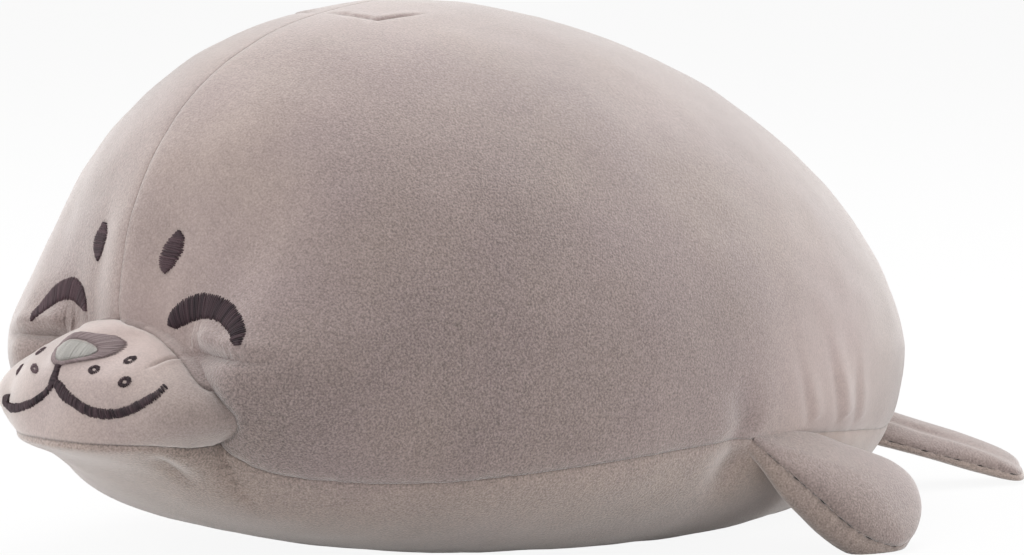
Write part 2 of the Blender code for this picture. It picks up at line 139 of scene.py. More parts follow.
class ShaderGroup:
    """A shared effect, kept as a node group with named inputs and outputs."""

    def __init__(self, name: str, inputs: dict[str, float], outputs: dict[str, str]) -> None:
        """Start an empty group.

        Args:
            name: The group's name.
            inputs: Each input's name and plain value.
            outputs: Each output's name and socket type.
        """
        self.tree = bpy.data.node_groups.new(name, "ShaderNodeTree")
        for label, value in inputs.items():
            socket = self.tree.interface.new_socket(label, in_out="INPUT",
                                                    socket_type="NodeSocketFloat")
            socket.default_value = value
        for label, kind in outputs.items():
            self.tree.interface.new_socket(label, in_out="OUTPUT", socket_type=kind)
        self.source = self.tree.nodes.new("NodeGroupInput")
        self.sink = self.tree.nodes.new("NodeGroupOutput")

    def add(self, kind: str, **settings: object) -> bpy.types.Node:
        """Add a node with its settings."""
        node = self.tree.nodes.new(kind)
        for label, value in settings.items():
            setattr(node, label, value)
        return node

    def link(self, start: bpy.types.NodeSocket, end: bpy.types.NodeSocket) -> None:
        """Join two sockets."""
        self.tree.links.new(start, end)

    def maths(self, operation: str, first: object, second: object) -> bpy.types.NodeSocket:
        """Add a Math node and give its result.

        Args:
            operation: The Math node's operation.
            first: A socket or a number.
            second: A socket or a number.

        Returns:
            The node's output socket.
        """
        node = self.add("ShaderNodeMath", operation=operation)
        for socket, value in zip(node.inputs, (first, second)):
            if isinstance(value, bpy.types.NodeSocket):
                self.link(value, socket)
            else:
                socket.default_value = value
        return node.outputs[0]


def short_pile_group() -> bpy.types.NodeTree:
    """Make the velvety pile: fine grain, soft clumps and broad nap, on object coordinates.

    Returns:
        The group's node tree, with a Tone output around 1 and a Height output in 0 to 1.
    """
    group = ShaderGroup("short pile", {"Grain": 1.0, "Clumps": 1.0, "Nap": 1.0},
                        {"Tone": "NodeSocketFloat", "Height": "NodeSocketFloat",
                         "Warmth": "NodeSocketFloat"})
    where = group.add("ShaderNodeTexCoord").outputs["Object"]
    layers = []
    for scale, detail, rough in ((1300.0, 1.0, 0.6), (330.0, 2.0, 0.6), (15.0, 2.0, 0.5),
                                 (19.0, 2.0, 0.5)):
        cloud = group.add("ShaderNodeTexNoise", noise_dimensions="3D")
        cloud.inputs["Scale"].default_value = scale
        cloud.inputs["Detail"].default_value = detail
        cloud.inputs["Roughness"].default_value = rough
        group.link(where, cloud.inputs["Vector"])
        layers.append(group.maths("SUBTRACT", cloud.outputs["Fac"], 0.5))
    grain = group.maths("MULTIPLY", layers[0], group.source.outputs["Grain"])
    clumps = group.maths("MULTIPLY", layers[1], group.source.outputs["Clumps"])
    nap = group.maths("MULTIPLY", layers[2], group.source.outputs["Nap"])
    fine = group.maths("ADD", grain, clumps)
    group.link(group.maths("ADD", group.maths("ADD", fine, nap), 1.0), group.sink.inputs["Tone"])
    group.link(group.maths("ADD", grain, 0.5), group.sink.inputs["Height"])
    drift = group.maths("ADD", group.maths("MULTIPLY", layers[3], 2.3), 0.5)
    group.link(group.maths("MINIMUM", group.maths("MAXIMUM", drift, 0.0), 1.0),
               group.sink.inputs["Warmth"])
    return group.tree


def twisted_thread_group() -> bpy.types.NodeTree:
    """Make the fine twist of embroidery thread, on the stitches' own map.

    Returns:
        The group's node tree, with a Tone output around 1 and a Height output.
    """
    group = ShaderGroup("twisted thread", {"Plies": 3.0, "Strength": 0.2},
                        {"Tone": "NodeSocketFloat", "Height": "NodeSocketFloat"})
    where = group.add("ShaderNodeUVMap", uv_map="Thread")
    split = group.add("ShaderNodeSeparateXYZ")
    group.link(where.outputs["UV"], split.inputs[0])
    slant = group.maths("ADD", split.outputs[0], group.maths("MULTIPLY", split.outputs[1], 0.8))
    turns = group.maths("MULTIPLY", slant, group.source.outputs["Plies"])
    wave = group.maths("SINE", group.maths("MULTIPLY", turns, 2*math.pi), 0.0)
    height = group.maths("ADD", group.maths("MULTIPLY", wave, 0.5), 0.5)
    swing = group.maths("MULTIPLY", group.maths("SUBTRACT", height, 0.5),
                        group.source.outputs["Strength"])
    group.link(group.maths("ADD", swing, 1.0), group.sink.inputs["Tone"])
    group.link(height, group.sink.inputs["Height"])
    return group.tree


class Dresser:
    """Builds each material once, from the shared groups."""

    def __init__(self) -> None:
        """Make the shared groups."""
        self.pile = short_pile_group()
        self.thread = twisted_thread_group()

    def start(self, name: str) -> tuple[bpy.types.Material, bpy.types.Node]:
        """Start a material and give it with its Principled shader."""
        material = bpy.data.materials.new(name)
        material.use_nodes = True
        return material, material.node_tree.nodes["Principled BSDF"]

    def scaled(self, material: bpy.types.Material, colour: bpy.types.NodeSocket,
               factor: bpy.types.NodeSocket) -> bpy.types.NodeSocket:
        """Multiply a colour by a value.

        Args:
            material: The material that holds the nodes.
            colour: The colour's socket.
            factor: The value's socket.

        Returns:
            The scaled colour's socket.
        """
        node = material.node_tree.nodes.new("ShaderNodeVectorMath")
        node.operation = "SCALE"
        material.node_tree.links.new(colour, node.inputs[0])
        material.node_tree.links.new(factor, node.inputs["Scale"])
        return node.outputs[0]

    def mixed(self, material: bpy.types.Material, share: bpy.types.NodeSocket, first: Colour,
              second: Colour) -> bpy.types.NodeSocket:
        """Mix two colours by a value and give the result's socket."""
        node = material.node_tree.nodes.new("ShaderNodeMix")
        node.data_type = "RGBA"
        node.inputs["A"].default_value = (*first, 1.0)
        node.inputs["B"].default_value = (*second, 1.0)
        material.node_tree.links.new(share, node.inputs["Factor"])
        return node.outputs["Result"]


@dataclass(frozen=True)
class PlushFinish:
    """Short velvety pile: dark where it is looked into and pale where it is seen from the side."""

    name: str
    cool: Colour
    warm: Colour
    grain: float = 1.30
    clumps: float = 0.24
    nap: float = 0.34
    sheen: float = 1.0
    sheen_roughness: float = 0.50
    tint: Colour = (1.0, 0.965, 0.95)
    bump: float = 0.35
    pile_depth: float = 0.0006

    def build(self, dresser: Dresser) -> bpy.types.Material:
        """Build the material.

        Args:
            dresser: Holds the shared groups.

        Returns:
            The finished material.
        """
        material, shader = dresser.start(self.name)
        tree = material.node_tree
        pile = tree.nodes.new("ShaderNodeGroup")
        pile.node_tree = dresser.pile
        for label, value in (("Clumps", self.clumps), ("Nap", self.nap)):
            pile.inputs[label].default_value = value
        colour = dresser.mixed(material, pile.outputs["Warmth"], self.cool, self.warm)
        toned = dresser.scaled(material, colour, pile.outputs["Tone"])
        # painted shade: the crease_shade attribute darkens the colour by up to a half along seams and in
        # folds' grooves
        crease_shade = tree.nodes.new("ShaderNodeAttribute")
        crease_shade.attribute_name = "crease_shade"
        dark = tree.nodes.new("ShaderNodeMath")
        dark.operation = "MULTIPLY_ADD"
        dark.inputs[1].default_value = -0.50
        dark.inputs[2].default_value = 1.0
        tree.links.new(crease_shade.outputs["Fac"], dark.inputs[0])
        # the nap attribute holds the strokes, brushed pile tone with painted light and shade: it scales
        # the colour, and the grain is weaker where light is painted and stronger where shade is painted
        nap = tree.nodes.new("ShaderNodeAttribute")
        nap.attribute_name = "nap"
        standing = tree.nodes.new("ShaderNodeMath")
        standing.operation = "MULTIPLY_ADD"
        standing.inputs[1].default_value = -2.2*self.grain
        standing.inputs[2].default_value = self.grain
        tree.links.new(nap.outputs["Fac"], standing.inputs[0])
        upright = tree.nodes.new("ShaderNodeMath")
        upright.operation = "MAXIMUM"
        upright.inputs[1].default_value = 0.35*self.grain
        tree.links.new(standing.outputs[0], upright.inputs[0])
        tree.links.new(upright.outputs[0], pile.inputs["Grain"])
        swept = tree.nodes.new("ShaderNodeMath")
        swept.operation = "ADD"
        tree.links.new(nap.outputs["Fac"], swept.inputs[0])
        tree.links.new(dark.outputs[0], swept.inputs[1])
        tree.links.new(dresser.scaled(material, toned, swept.outputs[0]), shader.inputs["Base Color"])
        bump = tree.nodes.new("ShaderNodeBump")
        bump.inputs["Strength"].default_value = self.bump
        bump.inputs["Distance"].default_value = self.pile_depth
        tree.links.new(pile.outputs["Height"], bump.inputs["Height"])
        tree.links.new(bump.outputs["Normal"], shader.inputs["Normal"])
        shader.inputs["Roughness"].default_value = 0.92
        shader.inputs["Specular IOR Level"].default_value = 0.15
        shader.inputs["Sheen Weight"].default_value = self.sheen
        shader.inputs["Sheen Roughness"].default_value = self.sheen_roughness
        shader.inputs["Sheen Tint"].default_value = (*self.tint, 1.0)
        return material


@dataclass(frozen=True)
class ThreadFinish:
    """Satin-stitch thread with a fine twist and a soft gloss."""

    name: str
    colour: Colour
    light: Colour
    gloss: float = 0.55

    def build(self, dresser: Dresser) -> bpy.types.Material:
        """Build the material.

        Args:
            dresser: Holds the shared groups.

        Returns:
            The finished material.
        """
        material, shader = dresser.start(self.name)
        tree = material.node_tree
        twist = tree.nodes.new("ShaderNodeGroup")
        twist.node_tree = dresser.thread
        twist.inputs["Plies"].default_value = 5.0
        twist.inputs["Strength"].default_value = 0.35
        # the strand attribute mixes towards the paler colour: random thread tone, and painted light on
        # both brows and on the far side's eye and dots
        tone = tree.nodes.new("ShaderNodeAttribute")
        tone.attribute_name = "strand"
        colour = dresser.mixed(material, tone.outputs["Fac"], self.colour, self.light)
        tree.links.new(dresser.scaled(material, colour, twist.outputs["Tone"]),
                       shader.inputs["Base Color"])
        bump = tree.nodes.new("ShaderNodeBump")
        bump.inputs["Strength"].default_value = 0.4
        bump.inputs["Distance"].default_value = 0.0001
        tree.links.new(twist.outputs["Height"], bump.inputs["Height"])
        tree.links.new(bump.outputs["Normal"], shader.inputs["Normal"])
        shader.inputs["Roughness"].default_value = self.gloss
        shader.inputs["Specular IOR Level"].default_value = 0.3
        return material


@dataclass(frozen=True)
class FillingFinish:
    """Loose white fibre, which stays inside the cloth."""

    name: str
    colour: Colour = (0.80, 0.80, 0.78)

    def build(self, dresser: Dresser) -> bpy.types.Material:
        """Build the material.

        Args:
            dresser: Holds the shared groups.

        Returns:
            The finished material.
        """
        material, shader = dresser.start(self.name)
        tree = material.node_tree
        pile = tree.nodes.new("ShaderNodeGroup")
        pile.node_tree = dresser.pile
        pile.inputs["Grain"].default_value = 0.3
        pile.inputs["Clumps"].default_value = 1.2
        shade = tuple(channel*0.8 for channel in self.colour)
        colour = dresser.mixed(material, pile.outputs["Warmth"], shade, self.colour)
        tree.links.new(dresser.scaled(material, colour, pile.outputs["Tone"]),
                       shader.inputs["Base Color"])
        bump = tree.nodes.new("ShaderNodeBump")
        bump.inputs["Distance"].default_value = 0.003
        tree.links.new(pile.outputs["Height"], bump.inputs["Height"])
        tree.links.new(bump.outputs["Normal"], shader.inputs["Normal"])
        shader.inputs["Roughness"].default_value = 0.95
        return material


@dataclass(frozen=True)
class FloorFinish:
    """Plain pale floor that shows white and still keeps a part of the shadow."""

    name: str = "pale floor"
    colour: Colour = (0.80, 0.80, 0.80)
    glow_share: float = 0.92

    def build(self) -> bpy.types.Material:
        """Build the material.

        Returns:
            The finished material.
        """
        material = bpy.data.materials.new(self.name)
        material.use_nodes = True
        tree = material.node_tree
        shader = tree.nodes["Principled BSDF"]
        shader.inputs["Base Color"].default_value = (*self.colour, 1.0)
        shader.inputs["Roughness"].default_value = 0.9
        glow = tree.nodes.new("ShaderNodeEmission")
        glow.inputs["Color"].default_value = (1.0, 1.0, 1.0, 1.0)
        path = tree.nodes.new("ShaderNodeLightPath")
        share = tree.nodes.new("ShaderNodeMath")
        share.operation = "MULTIPLY"
        share.inputs[1].default_value = self.glow_share
        mix = tree.nodes.new("ShaderNodeMixShader")
        tree.links.new(path.outputs["Is Camera Ray"], share.inputs[0])
        tree.links.new(share.outputs[0], mix.inputs["Fac"])
        tree.links.new(shader.outputs[0], mix.inputs[1])
        tree.links.new(glow.outputs[0], mix.inputs[2])
        tree.links.new(mix.outputs[0], tree.nodes["Material Output"].inputs["Surface"])
        return material


# ---------------------------------------------------------------- the stuffed body's form


@dataclass(frozen=True)
class BodyForm:
    """The stuffed body as one smooth closed form, without seams and folds."""

    length: float = 0.390
    width: float = 0.279
    back_height: float = 0.144
    belly_depth: float = 0.074
    girth_height: float = 0.067
    crown_lean: float = 0.024
    rest_blend: float = 0.006
    back_squareness: float = 1.84
    belly_squareness: float = 2.54
    side_rounding: float = 0.90
    back_rounding: float = 0.88
    belly_rounding: float = 0.65
    side_taper: float = 0.097
    back_taper: float = 0.15
    belly_taper: float = -0.128
    settling: float = 0.16
    seam_angle_middle: float = 0.188
    seam_angle_ends: float = 0.648
    cheek_fullness: float = 0.0155
    cheek_height: float = 0.080
    cheek_rise: float = 0.050
    cheek_drop: float = 0.045
    cheek_across: tuple[float, float, float, float] = (0.031, 0.066, 0.092, 0.129)
    muzzle_half_width: float = 0.0485
    muzzle_side_swell: float = 0.0135
    seam_margin: float = 0.0016
    bib_fullness: float = 0.008
    corner_height: float = 0.0545
    seam_arch: float = 0.002
    muzzle_rise: float = 0.044
    muzzle_depth: float = 0.0380
    lobe_fullness: float = 2.08
    nose_fullness: float = 2.0
    top_fullness: float = 2.05
    centre_rise: float = 0.016
    chin_drop: float = 0.031
    chin_lip: float = 0.0094
    chin_curl: float = 1.7
    ring_squareness: float = 1.9
    cleft_depth: float = 0.0012
    cleft_half_width: float = 0.009
    nose_shelf: float = 0.0036
    nose_ridge: float = 0.0015
    eye_dent: float = 0.0035
    face_ridge: float = 0.0006
    temple_fullness: float = 0.0026

    def section(self, along: Array) -> tuple[Array, Array, Array]:
        """Give the half width, height above and depth below the girth from nose to tail."""
        reach = np.maximum(np.sin(along), 0.0)
        station = -np.cos(along)
        half = self.width/2*reach**self.side_rounding*(1.0 - self.side_taper*station)
        above = self.back_height*reach**self.back_rounding*(1.0 - self.back_taper*station)
        below = self.belly_depth*reach**self.belly_rounding*(1.0 - self.belly_taper*station)
        return half, above, below

    def rest(self, height: Array) -> Array:
        """Flatten what would lie below the floor, with a short rounded blend."""
        blend = (height + self.rest_blend)**2/(4.0*self.rest_blend)
        return np.where(height < -self.rest_blend, 0.0,
                        np.where(height > self.rest_blend, height, blend))

    def side_swell(self, upper: Array) -> Array:
        """Give how much the muzzle's seam bows out, from its top at 0 to its corner at pi/2."""
        return self.muzzle_side_swell*np.sin(math.pi*np.minimum(upper*2/math.pi, 1.0)**3)

    def muzzle_lift(self, x: Array, z: Array) -> Array:
        """Give how far the muzzle and the chin stand forward of the face."""
        rise = np.maximum(z - self.corner_height, 0.0)/self.muzzle_rise
        upper = np.arccos(np.clip(rise, 0.0, 1.0))
        swell = self.side_swell(upper)/np.maximum(np.sin(upper), 0.2)
        across = x/(self.muzzle_half_width + swell)
        drop = np.maximum(self.corner_height - z, 0.0)
        spread = np.hypot(across, rise)
        sideways = (across/np.maximum(spread, 1e-9))**2
        side_power = self.lobe_fullness + (self.nose_fullness - self.lobe_fullness)*ease(0.072, 0.092, z)
        power = self.top_fullness + (side_power - self.top_fullness)*sideways
        dome = np.maximum(1.0 - np.minimum(spread, 1.0)**power, 0.0)**(1.0/power)
        chin = (1.0 - np.minimum(drop/self.chin_drop, 1.0)**3)
        chin = chin/(1.0 + (drop/self.chin_lip)**self.chin_curl)
        cleft = self.cleft_depth*np.exp(-(x/self.cleft_half_width)**2)*np.minimum(dome*2.0, 1.0)
        cleft = cleft*ease(0.050, 0.066, z)*(1.0 - ease(0.074, 0.080, z))
        shelf = ease(0.079, 0.088, z)*(1.0 - ease(0.093, 0.0985, z))*np.minimum(dome*3.0, 1.0)
        beside = np.exp(-((np.abs(x) - 0.0165)/0.0090)**2)
        nose = self.nose_ridge*np.exp(-(x/0.006)**2) - self.nose_shelf*beside
        return (self.muzzle_depth*dome - cleft + nose*shelf)*chin

    def cheek_lift(self, x: Array, z: Array) -> Array:
        """Give how far the full cheeks stand forward and the eyes are drawn in."""
        across = np.abs(x)
        rise = np.where(z > self.cheek_height, self.cheek_rise, self.cheek_drop)
        level = np.minimum(np.abs(z - self.cheek_height)/rise, 1.0)
        start, full, fade, outer = self.cheek_across
        share = ease(start, full, across)*(1.0 - ease(fade, outer, across))
        cheek = self.cheek_fullness*share*np.cos(level*math.pi/2)**2
        dent = ease(0.004, 0.022, across)*(1.0 - ease(0.050, 0.085, across))
        dent = dent*ease(0.078, 0.096, z)*(1.0 - ease(0.128, 0.165, z))
        ridge = np.exp(-(x/0.006)**2)*ease(0.094, 0.105, z)*(1.0 - ease(0.13, 0.17, z))
        temple = ease(0.045, 0.085, across)*(1.0 - ease(0.100, 0.136, across))
        temple = temple*ease(0.100, 0.125, z)*(1.0 - ease(0.145, 0.190, z))
        bib = np.exp(-((z - 0.015)/0.018)**2)*(1.0 - ease(0.050, 0.125, across))
        return (cheek - self.eye_dent*dent + self.face_ridge*ridge + self.temple_fullness*temple
                + self.bib_fullness*bib)

    def skin(self, along: Array, around: Array) -> Array:
        """Place points of the outer form.

        Args:
            along: Angles from 0 at the nose to pi at the tail.
            around: Angles from 0 at the left side to pi/2 at the crown and -pi/2 at the belly.

        Returns:
            An array with a place in each row.
        """
        half, above, below = self.section(along)
        rising = np.sin(around) >= 0.0
        power = 2.0/np.where(rising, self.back_squareness, self.belly_squareness)
        across = signed_power(np.cos(around), power)
        up = signed_power(np.sin(around), power)
        x = half*across
        z = self.rest(self.girth_height + np.where(rising, above, below)*up)
        y = -self.length/2*np.cos(along) - self.crown_lean*np.sin(along)*np.maximum(up, 0.0)
        front = ease(-0.05, 0.35, np.cos(along))
        y = y - front*(self.cheek_lift(x, z) + self.muzzle_lift(x, z))
        return np.stack((x, y, z), axis=1)

    def angles_at(self, x: Array, z: Array) -> tuple[Array, Array]:
        """Find the angles of the points of the front that show at x, z from ahead."""
        rising = z >= self.girth_height
        power = np.where(rising, self.back_squareness, self.belly_squareness)
        low, high = np.full_like(x, 1e-5), np.full_like(x, math.pi/2)
        for _ in range(36):
            along = (low + high)/2
            half, above, below = self.section(along)
            height = np.where(rising, above, below)
            outside = (np.abs(x/half)**power + np.abs((z - self.girth_height)/height)**power) > 1.0
            low, high = np.where(outside, along, low), np.where(outside, high, along)
        up = (z - self.girth_height)/height
        around = np.arctan2(signed_power(up, power/2), signed_power(x/half, power/2))
        return along, around

    def muzzle_edge(self, turn: Array) -> tuple[Array, Array]:
        """Give x, z of the muzzle's seam; turn runs 0 to 1 top to corner and 1 to 2 to the middle."""
        upper = np.minimum(turn, 1.0)*math.pi/2
        lower = np.maximum(turn - 1.0, 0.0)
        arch = self.seam_arch*(1.0 - (1.0 - lower)**2)
        power = 2.0/self.ring_squareness
        beyond = 1.0 + self.seam_margin/self.muzzle_side_swell
        across = self.muzzle_half_width*np.sin(upper)**power + self.side_swell(upper)*beyond
        height = self.muzzle_rise*np.maximum(np.cos(upper), 0.0)**power
        x = np.where(turn <= 1.0, across, self.muzzle_half_width*(1.0 - lower))
        z = self.corner_height + np.where(turn <= 1.0, height, arch)
        return x, z

    def muzzle_place(self, turn: Array, share: Array, side: Array) -> Array:
        """Place points of the muzzle, at a share of the way from its middle to its seam."""
        edge_x, edge_z = self.muzzle_edge(turn)
        middle = self.corner_height + self.centre_rise
        along, around = self.angles_at(edge_x*share, middle + (edge_z - middle)*share)
        places = self.skin(along, around)
        places[:, 0] *= side
        return places

    def body_place(self, turn: Array, step: Array, side: Array) -> Array:
        """Place points behind the muzzle; turn is as for its seam and step runs 0 to 1 to the tail."""
        edge_x, edge_z = self.muzzle_edge(turn)
        edge_along, edge_around = self.angles_at(edge_x, edge_z)
        share = 0.75*(1.0 - np.cos(step*math.pi))/2 + 0.25*step
        along = edge_along + (math.pi - edge_along)*share
        seam = -(self.seam_angle_middle
                 + (self.seam_angle_ends - self.seam_angle_middle)*np.cos(along)**2)
        target = np.where(turn <= 1.0, math.pi/2 + (seam - math.pi/2)*turn,
                          seam + (-math.pi/2 - seam)*(turn - 1.0))
        settled = np.sin(np.minimum(step/self.settling, 1.0)*math.pi/2)
        around = edge_around + (target - edge_around)*settled
        places = self.skin(along, around)
        places[:, 0] *= side
        return places


# ---------------------------------------------------------------- seams and folds


@dataclass(frozen=True)
class Seam:
    """A sewn line that draws the cloth in, with shade painted along it."""

    name: str
    depth: float
    reach: float
    pucker: float = 0.0
    pitch: float = 0.006
    # how much shade is painted along the seam
    dark: float = 0.6


@dataclass(frozen=True)
class Fold:
    """A fold in the cloth along a line, with a swell beside it and shade painted into its groove."""

    path: tuple[Spot, ...]
    depth: float
    width: float
    swell: float = 0.0
    swell_reach: float = 2.2
    sharp: float = 0.0
    sides: tuple[float, ...] = (1.0,)
    fade: tuple[float, float] = (0.35, 0.35)
    # how much shade is painted into the fold's groove
    dark: float = 0.25


@dataclass(frozen=True)
class Stroke:
    """A soft patch that makes the pile darker or paler; the strokes stand for brushed pile and also paint
    light and shade.
    """

    place: Spot
    reach: float
    tone: float


def brushing_with_painted_light_and_shade(places: Array, strokes: Sequence[Stroke]) -> Array:
    """Give how much paler or darker the pile is at each place, from brushed pile and from painted light
    and shade.
    """
    total = np.zeros(len(places))
    for stroke in strokes:
        away = np.linalg.norm(places - np.array(stroke.place), axis=1)
        total += stroke.tone*np.exp(-(away/stroke.reach)**2)
    return total


class SewnSkin:
    """Turns the smooth form into sewn cloth: seams, folds, puckers and a little unevenness."""

    def __init__(self, form: BodyForm, seams: Sequence[Seam], folds: Sequence[Fold]) -> None:
        """Prepare the seams and the folds.

        Args:
            form: The smooth form.
            seams: The body's sewn lines.
            folds: The body's creases.
        """
        self.form = form
        self.core = self.make_core()
        self.core_tree = BVHTree.FromBMesh(self.core)
        self.core_normals = self.softened(self.core, normals_of(self.core), 4)
        self.core_points = KDTree(len(self.core.verts))
        for vertex in self.core.verts:
            self.core_points.insert(vertex.co, vertex.index)
        self.core_points.balance()
        self.seams = {seam.name: seam for seam in seams}
        self.samples: list[tuple[Seam, KDTree, Array]] = []
        for name, line in self.seam_lines().items():
            self.add_seam(self.seams[name], line)
        self.folds = [(fold, self.laid(fold, side)) for fold in folds for side in fold.sides]

    def make_core(self, columns: int = 152, rows: int = 150) -> bmesh.types.BMesh:
        """Make the smooth form as one closed mesh.

        Args:
            columns: Cells round the body.
            rows: Cells from the muzzle's middle to the tail.

        Returns:
            The closed mesh.
        """
        mesh = bmesh.new()
        bmesh.ops.create_uvsphere(mesh, u_segments=columns, v_segments=rows, radius=1.0)
        places = coordinates(mesh)
        polar = np.arccos(np.clip(places[:, 2], -1.0, 1.0))/math.pi
        turn = np.arctan2(places[:, 1], places[:, 0])
        rim = turn[np.argmin(np.abs(polar - 0.5))]
        turn = np.mod(turn - rim, 2*math.pi)/(2*math.pi)
        side = np.where(turn > 0.5, -1.0, 1.0)
        turn = np.where(turn > 0.5, 1.0 - turn, turn)*38.0
        turn = np.where(turn <= 12.0, turn/12.0, 1.0 + (turn - 12.0)/7.0)
        split = 30.0/rows
        inner = np.sin(np.minimum(polar/split, 1.0)*math.pi/2)**1.4
        outer = np.clip((polar - split)/(1.0 - split), 0.0, 1.0)
        front = self.form.muzzle_place(turn, inner, side)
        back = self.form.body_place(turn, outer, side)
        move_to(mesh, np.where((polar <= split + 1e-6)[:, None], front, back))
        if mesh.calc_volume(signed=True) < 0.0:
            bmesh.ops.reverse_faces(mesh, faces=mesh.faces[:])
        mesh.normal_update()
        return mesh

    def softened(self, mesh: bmesh.types.BMesh, values: Array, times: int) -> Array:
        """Average each vertex's direction with its neighbours' a number of times."""
        mesh.verts.index_update()
        pairs = np.array([[vertex.index for vertex in edge.verts] for edge in mesh.edges])
        for _ in range(times):
            total = values*2.0
            np.add.at(total, pairs[:, 0], values[pairs[:, 1]])
            np.add.at(total, pairs[:, 1], values[pairs[:, 0]])
            values = total/np.linalg.norm(total, axis=1)[:, None]
        return values

    def seam_lines(self) -> dict[str, Array]:
        """Give each seam's line as dense points."""
        step = np.linspace(0.0, 1.0, 1200)
        one, zero = np.ones_like(step), np.zeros_like(step)
        turn = step*1.0
        left = self.form.body_place(one, step, one)
        ring = self.form.muzzle_place(turn, one, one)
        under = self.form.muzzle_place(1.0 + turn, one, one)
        mirror = np.array((-1.0, 1.0, 1.0))
        return {"crown": self.form.body_place(zero, step, one),
                "side": np.vstack((left, left*mirror)),
                "muzzle": np.vstack((ring, ring*mirror)),
                "chin": np.vstack((under, under*mirror))}

    def add_seam(self, seam: Seam, line: Array) -> None:
        """Keep a seam's points with their runs along it."""
        gaps = np.linalg.norm(np.diff(line, axis=0), axis=1)
        run = np.concatenate(([0.0], np.cumsum(np.where(gaps > 0.02, 0.0, gaps))))
        tree = KDTree(len(line))
        for index, place in enumerate(line):
            tree.insert(place, index)
        tree.balance()
        self.samples.append((seam, tree, run))

    def outward(self, places: Array) -> Array:
        """Give the smooth form's softened outward directions near places."""
        total = np.zeros_like(places)
        for row, place in enumerate(places):
            for _, index, away in self.core_points.find_n(place, 4):
                total[row] += self.core_normals[index]/(away + 2e-4)
        return total/np.linalg.norm(total, axis=1)[:, None]

    def laid(self, fold: Fold, side: float) -> tuple[Array, Array, Array]:
        """Lay a fold's line on the form and give its points, directions and outward directions."""
        path = [(x*side, y, z) for x, y, z in fold.path]
        line = smooth_line(path, 90)
        places, outward = [], []
        for place in line:
            near, normal, _, _ = self.core_tree.find_nearest(place)
            places.append(near)
            outward.append(normal)
        places, outward = np.array(places), np.array(outward)
        run = np.gradient(places, axis=0)
        run /= np.linalg.norm(run, axis=1)[:, None] + 1e-12
        across = np.cross(outward, run)*side
        return places, across, outward

    def shaped(self, places: Array) -> tuple[Array, Array]:
        """Move points of the smooth form to the sewn cloth.

        Args:
            places: Points of the smooth form.

        Returns:
            The moved points, and how much shade is painted at each of them in a fold's groove or along a
            seam, from 0 to 1.
        """
        lift = np.zeros(len(places))
        crease_shade = np.zeros(len(places))
        direction = self.outward(places)
        for seam, tree, runs in self.samples:
            found = [tree.find(place) for place in places]
            index = np.array([item[1] for item in found])
            away = np.array([item[2] for item in found])
            run = runs[index]
            close = np.exp(-(away/seam.reach)**1.25)
            wave = np.array([noise.noise((value/seam.pitch, seam.depth*1e3, 0.5)) for value in run])
            gather = np.exp(-(away/(seam.reach*2.6))**1.5)
            lift -= seam.depth*close*(1.0 + 0.5*wave)
            lift += seam.pucker*gather*wave*(1.0 - 0.6*close)
            # painted shade along the seam
            crease_shade = np.maximum(crease_shade, np.exp(-(away/(seam.reach*0.36))**2)*seam.dark)
        for fold, (line, across, outward) in self.folds:
            lift_here, crease_shade_here = self.fold_lift(fold, line, across, outward, places)
            lift += lift_here
            crease_shade = np.maximum(crease_shade, crease_shade_here)
        for index, place in enumerate(places):
            spot = Vector(place)
            lift[index] += 0.0007*noise.noise(spot*26.0) + 0.00035*noise.noise(spot*70.0)
        moved = places + direction*lift[:, None]
        low = moved[:, 2] < 0.0003
        moved[low, 2] = 0.0003
        return moved, crease_shade

    def fold_lift(self, fold: Fold, line: Array, across: Array, outward: Array,
                  places: Array) -> tuple[Array, Array]:
        """Give a fold's move along the outward direction and the shade painted at each place."""
        lift, crease_shade = np.zeros(len(places)), np.zeros(len(places))
        margin = fold.width*(fold.swell_reach + 3.0)
        box = ((places > line.min(0) - margin) & (places < line.max(0) + margin)).all(1)
        chosen = np.nonzero(box)[0]
        if not len(chosen):
            return lift, crease_shade
        offset = places[chosen, None, :] - line[None, :, :]
        gaps = np.linalg.norm(offset, axis=2)
        nearest = gaps.argmin(1)
        rows = np.arange(len(chosen))
        away = gaps[rows, nearest]
        sideways = (offset[rows, nearest]*across[nearest]).sum(1)
        share = nearest/(len(line) - 1)
        start, end = fold.fade
        taper = ease(-0.02, max(start, 0.02), share)*(1.0 - ease(1.0 - max(end, 0.02), 1.02, share))
        ratio = away/fold.width
        groove = np.exp(-ratio**2)
        if fold.sharp > 0.0:
            groove = (1.0 - fold.sharp)*groove + fold.sharp*np.exp(-ratio*2.2)
        crest = np.exp(-((sideways/fold.width - fold.swell_reach)/1.3)**2)
        crest = crest*np.exp(-((away**2 - sideways**2).clip(0.0)/(2.0*fold.width)**2))
        lift[chosen] = taper*(fold.swell*crest - fold.depth*groove)
        # painted shade in the fold's groove
        crease_shade[chosen] = taper*np.exp(-(ratio*2.0)**2)*fold.dark
        return lift, crease_shade

    def detail_wanted(self, places: Array) -> Array:
        """Say how many times cells at these places are split, for seams and folds."""
        wanted = np.zeros(len(places), int)
        for seam, tree, _ in self.samples:
            away = np.array([tree.find(place)[2] for place in places])
            wanted = np.maximum(wanted, (away < 0.0055).astype(int) + (away < 0.0022).astype(int))
        for fold, (line, _, _) in self.folds:
            reach = fold.width*(fold.swell_reach + 1.2)
            box = ((places > line.min(0) - reach) & (places < line.max(0) + reach)).all(1)
            chosen = np.nonzero(box)[0]
            if len(chosen):
                gaps = np.linalg.norm(places[chosen, None] - line[None], axis=2).min(1)
                level = (gaps < reach).astype(int) + (gaps < fold.width*1.6).astype(int)
                wanted[chosen] = np.maximum(wanted[chosen], level)
        return wanted

